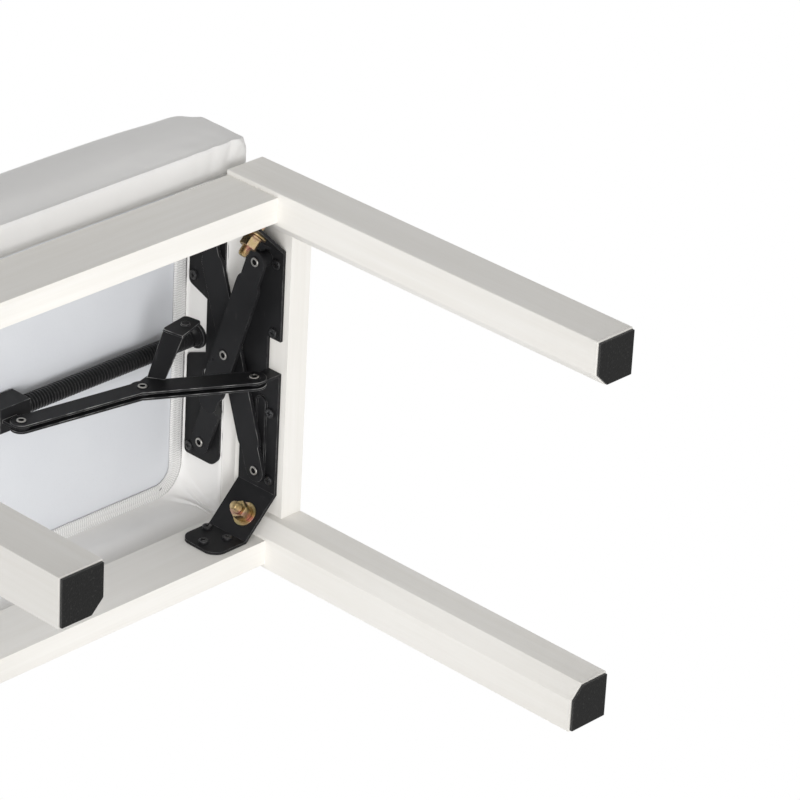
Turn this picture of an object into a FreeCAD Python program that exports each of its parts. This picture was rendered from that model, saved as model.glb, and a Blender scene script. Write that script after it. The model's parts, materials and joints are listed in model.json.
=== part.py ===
import FreeCAD, Part
import math
import os
import re
import Sketcher

Vector = FreeCAD.Vector
Rotation = FreeCAD.Rotation
Placement = FreeCAD.Placement

# Adjustable piano bench, standing on its feet. X runs along the bench, Y across it, Z up.
# The two ends carry the same scissor, turned half a turn about Z. "right" is the +X end.

# Driving dimensions, in millimetres and degrees.
sizes = {
    # Base frame
    "base_length": 550,
    "base_depth": 325,
    "leg_height": 384,
    "leg_side": 38,
    "leg_chamfer": 11,
    "foot_pad_thickness": 2.5,
    "foot_pad_inset": 1,
    "rail_thickness": 21,
    "rail_height": 54,
    "rail_drop": 2.5,
    "rail_setback": 3.5,
    # Base bracket, one bent strip at each end
    "plate": 2.5,
    "bend_margin": 10.2,
    "bracket_flange": 34,
    "bracket_height": 41,
    "bracket_drop": 50.5,
    "flange_corner": 7,
    "ear_drop": 43.6,
    "ear_reach": 20.5,
    "notch_length": 28,
    "track_height": 2,
    "track_wall": 1.5,
    # Scissor
    "pivot_inset": 70.7,
    "scissor_offset": 4,
    "rest_angle": 18.7,
    "lift_angle": 30,
    "arm_half_width": 9.5,
    "arm_belly": 12,
    "arm_belly_start": 26,
    "arm_thickness": 3,
    "arm_gap": 0.5,
    "arm_spacing": 4,
    "pilot_radius": 1,
    "pilot_along": 12,
    "pilot_across": 8.5,
    "joggle_start": 50,
    "joggle_run": 10,
    "joggle_lap": 0.5,
    "pivot_drop": 33,
    "pin_radius": 4,
    "pin_bore": 2.2,
    "pin_head_radius": 5,
    "pin_head": 1.2,
    "pin_end_gap": 0.1,
    "pin_clearance": 0.08,
    "slot_clearance": 0.35,
    "slot_spare": 3,
    "slot_depth": 1.5,
    "bush_wall": 2.2,
    "bush_end_gap": 0.1,
    # Push links between the base ears and the spindle nuts
    "link_plate": 2,
    "link_half_width": 10,
    "link_end_half_width": 8.5,
    "knee_length": 88,
    "knee_angle": 30,
    "horn_along": 67,
    "horn_foot": 15.5,
    "horn_foot_turn": 28,
    "horn_rise": 42,
    "horn_lean": 11,
    "horn_dip": 14,
    "horn_width": 20,
    "horn_turn": 50,
    "horn_flange": 26,
    "horn_taper": 4,
    "horn_stud_radius": 3.5,
    "horn_stud_height": 1.5,
    # Spindle
    "spindle_radius": 7.5,
    "spindle_height": 31,
    "thread_clearance": 0.1,
    "nut_half": 10.5,
    "nut_length": 30,
    "nut_inner_end": 9,
    "lug_half_width": 7,
    "lug_clearance": 0.3,
    "bush_radius": 11,
    "bush_flange_radius": 13,
    "bush_flange": 2,
    "collar_radius": 10.5,
    "collar_length": 4,
    "collar_gap": 0.2,
    "knob_radius": 21,
    "knob_length": 22,
    "knob_hub_radius": 12,
    "knob_hub_length": 5,
    "knob_scallops": 10,
    "knob_scallop_radius": 5,
    "knob_scallop_out": 3,
    # Seat
    "seat_end_inset": 6,
    "seat_depth": 352,
    "seat_pivot_height": 18,
    "seat_rail_height": 42,
    "seat_side_rail": 21.5,
    "seat_end_rail": 13.5,
    "seat_panel": 9,
    "seat_side_height": 63,
    "seat_edge_round": 9,
    "seat_crown": 9,
    "seat_crown_reach": 110,
    "seat_bottom_round": 3,
    "seat_waist": 1.2,
    "seat_corner": 10,
    "cover": 2,
    "foam_gap": 0.3,
    "lining": 1,
    "lining_gap": 2,
    "lining_side_gap": 10,
    "tape_thickness": 1.2,
    "tape_width": 13,
    "tape_corner": 28,
    "seat_plate_margin": 15.2,
    "seat_plate_below": 17,
    "seat_plate_above": 23,
    "seat_plate_corner": 8,
    "seat_notch_front": 36,
    "seat_notch_back": 11,
    "seat_notch_depth": 11,
    "seat_notch_slope": 8,
    # Fasteners
    "screw_head_radius": 4,
    "screw_head": 2.2,
    "screw_radius": 1.8,
    "screw_length": 15,
    "screw_clearance": 0.15,
    "screw_cross": 4.6,
    "screw_cross_slot": 1,
    "screw_cross_depth": 1.2,
    "bolt_radius": 4,
    "bolt_tip": 8,
    "bolt_in_leg": 24,
    "bolt_clearance": 0.2,
    "bolt_drop": 36,
    "nut_across": 13,
    "nut_height": 8,
    "washer_radius": 10,
    "washer": 1.6,
    "spring_washer_radius": 7,
    "spring_washer": 2.2,
    # Screw places, from the scissor pivot or the middle of the end, and from the leg top or the pivot line
    "plate_screw_margin": 2.2,
    "plate_screw_far_drop": 44,
    "plate_screw_near": 35,
    "plate_screw_near_drop": 43.1,
    "flange_screw_low": 13,
    "flange_screw_high": 36,
    "flange_screw_step": 8,
    "seat_screw_margin": 7.2,
    "seat_screw_near": 52,
    "seat_screw_rise": 17,
}

doc = FreeCAD.newDocument("PianoBench")
sheet = doc.addObject("Spreadsheet::Sheet", "Sizes")
for row, (alias, value) in enumerate(sizes.items(), start=1):
    sheet.set("A%d" % row, alias)
    sheet.set("B%d" % row, str(value))
    sheet.setAlias("B%d" % row, alias)
doc.recompute()


def cells(text):
    return re.sub(r"[a-z_]+", lambda word: ("Sizes." if word.group() in sizes else "") + word.group(),
                  str(text))


def number(text):
    return float(sheet.evalExpression(cells(text)))


def bind(item, **properties):
    for name, text in properties.items():
        item.setExpression(name, cells(text))


# Places that several pieces share, as expressions in the driving dimensions.
end_inner = "(base_length / 2 - rail_thickness)"
side_inner = "(base_depth / 2 - rail_setback - rail_thickness)"
rail_bottom = "(leg_height - rail_drop - rail_height)"
bracket_front = f"({end_inner} - plate)"
pivot_z = "(leg_height - pivot_drop)"
half_span = "(base_depth / 2 - pivot_inset)"
half_arm = f"({half_span} / cos(rest_angle))"
raised_slide = f"(2 * {half_arm} * cos(rest_angle + lift_angle) - {half_span})"
scissor_rise = f"(2 * {half_span} * tan(rest_angle))"
front_pivot = f"(-scissor_offset - {half_span})"
back_pivot = f"({half_span} - scissor_offset)"
bracket_bend = f"(bend_margin - {front_pivot})"
centre_z = f"({pivot_z} + {scissor_rise} / 2)"
seat_pivot_z = f"({pivot_z} + {scissor_rise})"
seat_bottom = f"({seat_pivot_z} - seat_pivot_height)"
seat_rail_bottom = f"({seat_bottom} + cover)"
panel_bottom = f"({seat_rail_bottom} + seat_rail_height)"
seat_half = "(base_length / 2 - seat_end_inset)"
seat_end_outer = f"({seat_half} - cover)"
seat_end_inner = f"({seat_end_outer} - seat_end_rail)"
seat_side_outer = "(seat_depth / 2 - cover)"
seat_side_inner = f"({seat_side_outer} - seat_side_rail)"
seat_plate_front = f"({seat_end_inner} - plate)"
arm_clear = "(max(track_height; screw_head) + arm_gap)"
rear_arm_back = f"(min({bracket_front}; {seat_plate_front}) - {arm_clear})"
rear_arm_front = f"({rear_arm_back} - arm_thickness)"
front_arm_back = f"({rear_arm_front} - arm_spacing)"
front_arm_front = f"({front_arm_back} - arm_thickness)"
spindle_z = f"({seat_bottom} + spindle_height)"
ear_x = f"({bracket_front} - ear_reach)"
ear_z = "(leg_height - ear_drop)"
bracket_bottom = "(leg_height - bracket_drop)"
ear_half = "(bracket_drop - ear_drop)"
nut_x = f"({ear_x} - 2 * {half_span})"
nut_pin_z = f"({ear_z} + {scissor_rise})"
link_gap = "(plate + 2 * lug_clearance)"
link_outer = f"({link_gap} / 2 + link_plate)"
tape_x = f"({seat_plate_front} - lining_gap)"
tape_y = f"({seat_side_inner} - lining_side_gap)"
bolt_z = "(leg_height - bolt_drop)"

axes = {"x": Vector(1, 0, 0), "y": Vector(0, 1, 0), "z": Vector(0, 0, 1)}
half_turn = Placement(Vector(0, 0, 0), Rotation(axes["z"], 180))
nodes = {}


def point(x, y, z):
    return Vector(number(x), number(y), number(z))


def place(item, at, rotation=None):
    item.Placement = Placement(Vector(0, 0, 0), rotation or Rotation())
    for letter, text in zip("xyz", at):
        item.setExpression("Placement.Base." + letter, cells(text))


def box(name, size, corner):
    item = doc.addObject("Part::Box", name)
    bind(item, Length=size[0], Width=size[1], Height=size[2])
    place(item, corner)
    return item


def rod(name, radius, length, start, axis="z"):
    item = doc.addObject("Part::Cylinder", name)
    bind(item, Radius=radius, Height=length)
    direction = axes[axis] if axis in axes else axis
    place(item, start, Rotation(axes["z"], direction))
    return item


def set_rod(name, radius, length, placement):
    item = doc.addObject("Part::Cylinder", name)
    bind(item, Radius=radius, Height=length)
    item.Placement = placement
    return item


def fuse(name, items):
    item = doc.addObject("Part::MultiFuse", name)
    item.Shapes = items
    return item


def cut(name, base, tools):
    item = doc.addObject("Part::Cut", name)
    item.Base = base
    item.Tool = tools[0] if len(tools) == 1 else fuse(name + "_tools", tools)
    return item


def polygon_body(name, plane, corners, depth):
    # A pad on one of the origin planes, every corner of its outline bound to the sheet.
    body = doc.addObject("PartDesign::Body", name)
    sketch = body.newObject("Sketcher::SketchObject", name + "_outline")
    support = [feature for feature in body.Origin.OriginFeatures if feature.Role == plane][0]
    sketch.AttachmentSupport = [(support, "")]
    sketch.MapMode = "FlatFace"
    places = [Vector(number(u), number(v), 0) for u, v in corners]
    count = len(places)
    for index in range(count):
        sketch.addGeometry(Part.LineSegment(places[index], places[(index + 1) % count]))
    for index in range(count):
        sketch.addConstraint(Sketcher.Constraint("Coincident", index, 2, (index + 1) % count, 1))
    for index, corner in enumerate(corners):
        for kind, text in zip(("DistanceX", "DistanceY"), corner):
            row = sketch.addConstraint(Sketcher.Constraint(kind, -1, 1, index, 1, number(text)))
            sketch.setExpression("Constraints[%d]" % row, cells(text))
    pad = body.newObject("PartDesign::Pad", name + "_pad")
    pad.Profile = sketch
    bind(pad, Length=depth)
    return body


def strap(name, half_width, thickness, length):
    # A flat bar with round ends, from the origin along +X, its thickness along +Z.
    bar = box(name + "_bar", (length, f"2 * {half_width}", thickness), ("0", f"-{half_width}", "0"))
    near = rod(name + "_near", half_width, thickness, ("0", "0", "0"))
    far = rod(name + "_far", half_width, thickness, (length, "0", "0"))
    return fuse(name, [bar, near, far])


def keep(label, item, turned=False):
    item.Label = label
    if turned:
        item.Placement = half_turn.multiply(item.Placement)
    nodes[label] = item
    return item


def scatter(label, master, placements):
    # Copies of one fastener, as separate solids in one node.
    doc.recompute()
    item = doc.addObject("Part::Feature", label)
    item.Shape = Part.makeCompound([copy.transformed(spot.toMatrix()) for spot in placements
                                    for copy in master.Shape.Solids])
    return keep(label, item)


def facing(origin, direction):
    return Placement(origin, Rotation(axes["z"], direction))


def both_ends(placements):
    return placements + [half_turn.multiply(spot) for spot in placements]


corners = {"right_front": (1, -1), "right_back": (1, 1), "left_back": (-1, 1), "left_front": (-1, -1)}
ends = {"right": False, "left": True}

# Fasteners, each made once along +Z with the wood below and the tool side above.
screw_head = rod("screw_head_disc", "screw_head_radius", "screw_head", ("0", "0", "0"))
screw_shank = rod("screw_shank", "screw_radius", "screw_length", ("0", "0", "-screw_length"))
cross_one = box("screw_cross_one", ("screw_cross", "screw_cross_slot", "screw_cross_depth"),
                ("-screw_cross / 2", "-screw_cross_slot / 2", "screw_head - screw_cross_depth"))
cross_two = box("screw_cross_two", ("screw_cross_slot", "screw_cross", "screw_cross_depth"),
                ("-screw_cross_slot / 2", "-screw_cross / 2", "screw_head - screw_cross_depth"))
screw = cut("screw", fuse("screw_blank", [screw_head, screw_shank]), [cross_one, cross_two])


def ring(name, outer, inner, height, start="0"):
    disc = rod(name + "_disc", outer, height, ("0", "0", start))
    hole = rod(name + "_hole", inner, height, ("0", "0", start))
    return cut(name, disc, [hole])


def hollow_rivet(name, length, heads):
    # Grip along +Z from the origin, a rim below the origin and, with two heads, one above the grip.
    solids = [rod(name + "_shank", "pin_radius", length, ("0", "0", "0")),
              rod(name + "_rim", "pin_head_radius", "pin_head", ("0", "0", "-pin_head"))]
    if heads == 2:
        solids.append(rod(name + "_rim_two", "pin_head_radius", "pin_head", ("0", "0", length)))
    eye = rod(name + "_eye", "pin_bore", f"{length} + 2 * pin_head", ("0", "0", "-pin_head"))
    return cut(name, fuse(name + "_blank", solids), [eye])


# Base frame
leg_outline = [("-leg_side / 2", "leg_side / 2"), ("-leg_side / 2", "-leg_side / 2 + leg_chamfer"),
               ("-leg_side / 2 + leg_chamfer", "-leg_side / 2"), ("leg_side / 2", "-leg_side / 2"),
               ("leg_side / 2", "leg_side / 2")]
pad_side = "(leg_side / 2 - foot_pad_inset)"
pad_outline = [(f"-{pad_side}", pad_side), (f"-{pad_side}", "-leg_side / 2 + leg_chamfer"),
               ("-leg_side / 2 + leg_chamfer", f"-{pad_side}"), (pad_side, f"-{pad_side}"),
               (pad_side, pad_side)]

# The 45 degree line of the bracket's corner, and the bolt where it crosses the leg's diagonal.
corner_sum = f"({end_inner} + {bracket_bend} - base_length / 2 - base_depth / 2)"
corner_reach = f"({corner_sum} / 2 + leg_side - plate / sqrt(2))"
bolt_x = f"(base_length / 2 - leg_side + {corner_reach})"
bolt_y = f"(base_depth / 2 - leg_side + {corner_reach})"
bolt_stack = "(washer + spring_washer + nut_height + bolt_tip)"
bolt_length = f"({bolt_stack} - {corner_reach} * sqrt(2) + leg_chamfer / sqrt(2) + bolt_in_leg)"


def corner_axis(side_x, side_y):
    # On the inner face of the bracket's corner, looking into the middle of the bench.
    spot = Vector(side_x * number(bolt_x), side_y * number(bolt_y), number(bolt_z))
    return facing(spot, Vector(-side_x, -side_y, 0))


def bolt_hole(name, side_x, side_y):
    axis = corner_axis(side_x, side_y)
    back = axis.multVec(Vector(0, 0, number(f"{bolt_stack} - {bolt_length}")))
    return set_rod(name, "bolt_radius + bolt_clearance", f"2 * {bolt_length}", Placement(back, axis.Rotation))


for corner, (side_x, side_y) in corners.items():
    turn = {(1, 1): 0, (-1, 1): 90, (-1, -1): 180, (1, -1): 270}[side_x, side_y]
    centre = (f"{side_x} * (base_length - leg_side) / 2", f"{side_y} * (base_depth - leg_side) / 2")
    post = polygon_body("leg_post_" + corner, "XY_Plane", leg_outline, "leg_height - foot_pad_thickness")
    place(post, centre + ("foot_pad_thickness",), Rotation(axes["z"], turn))
    keep("leg_" + corner, cut("leg_cut_" + corner, post,
                              [bolt_hole("leg_bolt_hole_" + corner, side_x, side_y)]))
    pad = polygon_body("pad_" + corner, "XY_Plane", pad_outline, "foot_pad_thickness")
    place(pad, centre + ("0",), Rotation(axes["z"], turn))
    keep("foot_pad_" + corner, pad)

# Screws of one end: four through the bracket's plate and three through each flange.
plate_screw_far = f"({half_span} + plate_screw_margin)"
plate_screws = [(side * number(along), number(f"leg_height - {drop}"))
                for side in (-1, 1)
                for along, drop in ((plate_screw_far, "plate_screw_far_drop"),
                                    ("plate_screw_near", "plate_screw_near_drop"))]
plate_screw_spots = [facing(Vector(number(bracket_front), y, z), Vector(-1, 0, 0)) for y, z in plate_screws]
flange_end = f"({end_inner} + {bracket_bend} - {side_inner} - bracket_flange)"
flange_screws = [("flange_screw_step", "flange_screw_low + flange_screw_step"),
                 ("bracket_flange - flange_screw_step", "flange_screw_low"),
                 ("bracket_flange - flange_screw_step", "flange_screw_high")]
flange_screw_spots = [facing(point(f"{flange_end} + {along}", f"{side} * ({side_inner} - plate)",
                                   f"{bracket_bottom} + {rise}"), Vector(0, -side, 0))
                      for side in (-1, 1) for along, rise in flange_screws]


def screw_holes(name, spots):
    inward = facing(Vector(0, 0, 0), Vector(0, 0, -1))
    return [set_rod("%s_%d" % (name, index), "screw_radius + screw_clearance", "screw_length + screw_clearance",
                    spot.multiply(inward)) for index, spot in enumerate(spots)]


for end, turned in ends.items():
    blank = box("end_rail_blank_" + end, ("rail_thickness", "base_depth - 2 * leg_side", "rail_height"),
                (end_inner, "leg_side - base_depth / 2", rail_bottom))
    holes = screw_holes("end_rail_hole_" + end, plate_screw_spots)
    keep("end_rail_" + end, cut("end_rail_" + end, blank, holes), turned)
for name, side in (("front", -1), ("back", 1)):
    lower = f"-({side_inner} + rail_thickness)" if side < 0 else side_inner
    blank = box("long_rail_blank_" + name, ("base_length - 2 * leg_side", "rail_thickness", "rail_height"),
                ("leg_side - base_length / 2", lower, rail_bottom))
    spots = [spot for spot in both_ends(flange_screw_spots) if spot.Base.y * side > 0]
    keep("long_rail_" + name, cut("long_rail_" + name, blank, screw_holes("long_rail_hole_" + name, spots)))

# Base brackets: one strip bent round both corners, with an ear folded out of its plate.
bend_x = f"({end_inner} + {bracket_bend} - {side_inner})"
mitre = "(plate * (sqrt(2) - 1))"
half_strip = [(flange_end, f"({side_inner} - plate)"), (f"{bend_x} - {mitre}", f"({side_inner} - plate)"),
              (bracket_front, f"({bracket_bend} - {mitre})")]
half_back = [(end_inner, bracket_bend), (bend_x, side_inner), (flange_end, side_inner)]
strip_outline = (half_strip + [(x, f"-{y}") for x, y in reversed(half_strip)]
                 + [(x, f"-{y}") for x, y in reversed(half_back)] + half_back)
slot_start = f"({raised_slide} - scissor_offset - slot_spare)"
slot_length = f"({back_pivot} + slot_spare - {slot_start})"
groove_half = "(pin_radius + slot_clearance)"


def slot_tool(name, half_width, depth, x, z):
    tool = strap(name, half_width, depth, slot_length)
    place(tool, (x, slot_start, z), Rotation(axes["y"], axes["z"], axes["x"], "XYZ"))
    return tool


def corner_wedge(name, z, rise):
    # Takes a slanted corner off both flange ends at once.
    corner = [(flange_end, z), (f"{flange_end} + flange_corner", z),
              (flange_end, f"{z} + {rise} * flange_corner")]
    wedge = polygon_body(name, "XZ_Plane", corner, "base_depth")
    place(wedge, ("0", "base_depth / 2", "0"))
    return wedge


for end, turned in ends.items():
    strip = polygon_body("bracket_strip_" + end, "XY_Plane", strip_outline, "bracket_height")
    place(strip, ("0", "0", bracket_bottom))
    ear = box("bracket_ear_" + end, ("ear_reach + plate", "plate", f"2 * {ear_half}"),
              (ear_x, "-plate / 2", bracket_bottom))
    ear_tip = rod("bracket_ear_tip_" + end, ear_half, "plate", (ear_x, "-plate / 2", ear_z), "y")
    track_front = f"({bracket_front} - track_height)"
    wall = slot_tool("bracket_track_wall_" + end, f"({groove_half} + track_wall)", "track_height",
                     track_front, pivot_z)
    groove = slot_tool("bracket_track_groove_" + end, groove_half, "track_height", track_front, pivot_z)
    track = cut("bracket_track_" + end, wall, [groove])
    notch = box("bracket_notch_" + end, ("plate", "notch_length", f"2 * {ear_half}"),
                (bracket_front, "-plate / 2 - notch_length", bracket_bottom))
    pivot_hole = rod("bracket_pivot_hole_" + end, "pin_radius + pin_clearance", "plate",
                     (bracket_front, front_pivot, pivot_z), "x")
    ear_hole = rod("bracket_ear_hole_" + end, "pin_radius + pin_clearance", "plate",
                   (ear_x, "-plate / 2", ear_z), "y")
    bolt_holes = [bolt_hole("bracket_bolt_hole_%s_%d" % (end, side), 1, side) for side in (-1, 1)]
    holes = screw_holes("bracket_screw_hole_" + end, plate_screw_spots + flange_screw_spots)
    wedges = [corner_wedge("bracket_wedge_low_" + end, bracket_bottom, 1),
              corner_wedge("bracket_wedge_high_" + end, f"({bracket_bottom} + bracket_height)", -1)]
    formed = cut("bracket_notched_" + end, strip, [notch] + wedges)
    solid = fuse("bracket_solid_" + end, [formed, ear, ear_tip, track])
    drilled = cut("base_bracket_" + end, solid, [pivot_hole, ear_hole] + bolt_holes + holes)
    keep("base_bracket_" + end, drilled, turned)
scatter("bracket_screws", screw, both_ends(plate_screw_spots + flange_screw_spots))

# Corner bolts with their washers and nuts
bolt = rod("bolt", "bolt_radius", bolt_length, ("0", "0", f"{bolt_stack} - {bolt_length}"))
flat_washer = ring("flat_washer", "washer_radius", "bolt_radius + bolt_clearance", "washer")
lock_washer = ring("lock_washer", "spring_washer_radius", "bolt_radius + bolt_clearance", "spring_washer",
                   "washer")
hex_outline = [(f"nut_across / sqrt(3) * cos({angle})", f"nut_across / sqrt(3) * sin({angle})")
               for angle in range(15, 360, 60)]
hex_blank = polygon_body("hex_blank", "XY_Plane", hex_outline, "nut_height")
place(hex_blank, ("0", "0", "washer + spring_washer"))
hex_hole = rod("hex_hole", "bolt_radius + bolt_clearance", "nut_height", ("0", "0", "washer + spring_washer"))
hex_nut = cut("hex_nut", hex_blank, [hex_hole])
bolt_spots = [corner_axis(*sides) for sides in corners.values()]
scatter("corner_bolts", bolt, bolt_spots)
scatter("corner_washers", flat_washer, bolt_spots)
scatter("corner_spring_washers", lock_washer, bolt_spots)
scatter("corner_nuts", hex_nut, bolt_spots)

# Scissor arms, made along +X about the middle rivet and then leaned by the rest angle.
lean = math.radians(number("rest_angle"))
joggle = "(arm_thickness + arm_spacing)"


def arm_holes(name):
    return [rod("%s_%d" % (name, index), "pin_radius + pin_clearance", f"{joggle} + arm_thickness",
                (along, "0", "0"))
            for index, along in enumerate((f"-{half_arm}", "0", half_arm))]


def lean_arm(item, x, rising):
    along = Vector(0, rising * math.cos(lean), math.sin(lean))
    turn = Rotation(along, axes["x"].cross(along), axes["x"], "XYZ")
    item.Placement = Placement(point(x, "-scissor_offset", centre_z), turn)


for end, turned in ends.items():
    main = strap("front_arm_main_" + end, "arm_half_width", "arm_thickness", f"({half_arm} + joggle_start)")
    place(main, (f"-{half_arm}", "0", "0"))
    tail_start = "(joggle_start + joggle_run)"
    tail = strap("front_arm_tail_" + end, "arm_half_width", "arm_thickness", f"({half_arm} - {tail_start})")
    place(tail, (tail_start, "0", joggle))
    step = polygon_body("front_arm_step_" + end, "XZ_Plane",
                        [("joggle_start - arm_thickness", "joggle_lap"),
                         ("joggle_start + arm_thickness", "joggle_lap"),
                         (f"{tail_start} + arm_thickness", joggle),
                         (f"{tail_start} + arm_thickness", f"{joggle} + arm_thickness"),
                         (f"{tail_start} - arm_thickness", f"{joggle} + arm_thickness"),
                         ("joggle_start - arm_thickness", "arm_thickness")], "2 * arm_half_width")
    place(step, ("0", "arm_half_width", "0"))
    belly_length = f"({half_arm} - arm_belly_start + joggle_start - arm_thickness - arm_belly)"
    belly = strap("front_arm_belly_" + end, "arm_belly", "arm_thickness", belly_length)
    place(belly, (f"arm_belly_start - {half_arm}", "0", "0"))
    solid = fuse("front_arm_solid_" + end, [main, tail, step, belly])
    pilot = rod("front_arm_pilot_" + end, "pilot_radius", "arm_thickness", ("pilot_along", "pilot_across", "0"))
    front_arm = cut("front_arm_" + end, solid, arm_holes("front_arm_hole_" + end) + [pilot])
    lean_arm(front_arm, front_arm_front, 1)
    keep("front_arm_" + end, front_arm, turned)

    bar = strap("rear_arm_bar_" + end, "arm_half_width", "arm_thickness", f"2 * {half_arm}")
    place(bar, (f"-{half_arm}", "0", "0"))
    belly = strap("rear_arm_belly_" + end, "arm_belly", "arm_thickness",
                  f"(2 * {half_arm} - 2 * arm_belly_start)")
    place(belly, (f"arm_belly_start - {half_arm}", "0", "0"))
    solid = fuse("rear_arm_solid_" + end, [bar, belly])
    rear_arm = cut("rear_arm_" + end, solid, arm_holes("rear_arm_hole_" + end))
    lean_arm(rear_arm, rear_arm_front, -1)
    keep("rear_arm_" + end, rear_arm, turned)

# Hollow rivets and bushes of the scissors. Each rivet stays in one arm and moves in the other piece.
base_rivet_grip = f"({end_inner} - pin_end_gap - {front_arm_front})"
centre_rivet_grip = f"({rear_arm_back} - {front_arm_front})"
slot_rivet_grip = f"({bracket_front} - pin_end_gap - {rear_arm_front})"
seat_rivet_grip = f"({seat_end_inner} - pin_end_gap - {rear_arm_front})"
groove_rivet_grip = f"({seat_plate_front} + slot_depth - pin_end_gap - {rear_arm_front})"
into_end = Vector(1, 0, 0)
base_rivet = hollow_rivet("base_rivet", base_rivet_grip, 1)
centre_rivet = hollow_rivet("centre_rivet", centre_rivet_grip, 1)
slot_rivet = hollow_rivet("slot_rivet", slot_rivet_grip, 1)
seat_rivet = hollow_rivet("seat_rivet", seat_rivet_grip, 1)
groove_rivet = hollow_rivet("groove_rivet", groove_rivet_grip, 1)
base_bush = ring("base_bush", "pin_radius + bush_wall", "pin_radius + pin_clearance",
                 f"{bracket_front} - {front_arm_back} - 2 * bush_end_gap", "bush_end_gap")
centre_bush = ring("centre_bush", "pin_radius + bush_wall", "pin_radius + pin_clearance",
                   "arm_spacing - 2 * bush_end_gap", "bush_end_gap")


def gather(label, pieces, turned):
    # Several loose pieces of one body, as separate solids in one node.
    doc.recompute()
    item = doc.addObject("Part::Feature", label)
    item.Shape = Part.makeCompound([solid.transformed(spot.toMatrix()) for piece, spot in pieces
                                    for solid in piece.Shape.Solids])
    return keep(label, item, turned)


for end, turned in ends.items():
    front_base = facing(point(front_arm_front, front_pivot, pivot_z), into_end)
    front_centre = facing(point(front_arm_front, "-scissor_offset", centre_z), into_end)
    front_seat = facing(point(rear_arm_front, back_pivot, seat_pivot_z), into_end)
    gather("front_arm_rivets_" + end,
           [(base_rivet, front_base), (centre_rivet, front_centre), (groove_rivet, front_seat)], turned)
    rear_base = facing(point(rear_arm_front, back_pivot, pivot_z), into_end)
    rear_seat = facing(point(rear_arm_front, front_pivot, seat_pivot_z), into_end)
    gather("rear_arm_rivets_" + end, [(slot_rivet, rear_base), (seat_rivet, rear_seat)], turned)
    bush_base = facing(point(front_arm_back, front_pivot, pivot_z), into_end)
    bush_centre = facing(point(front_arm_back, "-scissor_offset", centre_z), into_end)
    gather("scissor_bushes_" + end, [(base_bush, bush_base), (centre_bush, bush_centre)], turned)

# Push links: two cranked plates from the ear over a knee to the spindle nut, the upper one with a horn.
link_x = f"(2 * {half_span} - knee_length * cos(knee_angle))"
link_z = f"({scissor_rise} - knee_length * sin(knee_angle))"
outer_length = f"sqrt({link_x} * {link_x} + {link_z} * {link_z})"
knee_x = f"({ear_x} - knee_length * cos(knee_angle))"
knee_z = f"({ear_z} + knee_length * sin(knee_angle))"
knee_lean = math.radians(number("knee_angle"))
outer_lean = math.atan2(number(link_z), number(link_x))


def link_turn(angle):
    along = Vector(-math.cos(angle), 0, math.sin(angle))
    return Rotation(along, axes["y"].cross(along), axes["y"], "XYZ")


def link_plate(name, low_y):
    inner = strap(name + "_inner", "link_half_width", "link_plate", "knee_length")
    place(inner, (ear_x, low_y, ear_z), link_turn(knee_lean))
    outer = strap(name + "_outer", "link_end_half_width", "link_plate", outer_length)
    place(outer, (knee_x, low_y, knee_z), link_turn(outer_lean))
    return [inner, outer]


def link_holes(name, low_y):
    return [rod("%s_hole_%d" % (name, index), "pin_radius + pin_clearance", "link_plate", (x, low_y, z), "y")
            for index, (x, z) in enumerate(((ear_x, ear_z), (knee_x, knee_z), (nut_x, nut_pin_z)))]


upper_y = f"(-{link_outer})"
lower_y = f"({link_gap} / 2)"
link_rivet = hollow_rivet("link_rivet", f"2 * {link_outer}", 2)
knee_spacer = ring("knee_spacer", "pin_radius + bush_wall", "pin_radius + pin_clearance",
                   f"{link_gap} - 2 * bush_end_gap")

# The horn in the link's own axes: along it from the ear, up across it, and its rise square to the plate.
foot_near = ("horn_along", "link_half_width")
foot_far = ("(horn_along + horn_foot * cos(horn_foot_turn))",
            "(link_half_width + horn_foot * sin(horn_foot_turn))")
head_near = ("(horn_along - horn_lean)", "(link_half_width - horn_dip)")
head_far = (f"({head_near[0]} + horn_width * cos(horn_turn))",
            f"({head_near[1]} + horn_width * sin(horn_turn))")


def beside(spot, turn, across, along="0"):
    return (f"({spot[0]} - ({across}) * sin({turn}) + ({along}) * cos({turn}))",
            f"({spot[1]} + ({across}) * cos({turn}) + ({along}) * sin({turn}))")


def horn_section(near, far, turn, rise):
    # Held a little inside the lobe and the flange, so that they join over a volume.
    lap = "link_plate / 4"
    spots = [beside(near, turn, f"-{lap}", lap), beside(far, turn, f"-{lap}", f"-{lap}"),
             beside(far, turn, f"-{lap} - link_plate", f"-{lap}"),
             beside(near, turn, f"-{lap} - link_plate", lap)]
    return Part.makePolygon([point(u, v, rise) for u, v in spots + spots[:1]])


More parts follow.
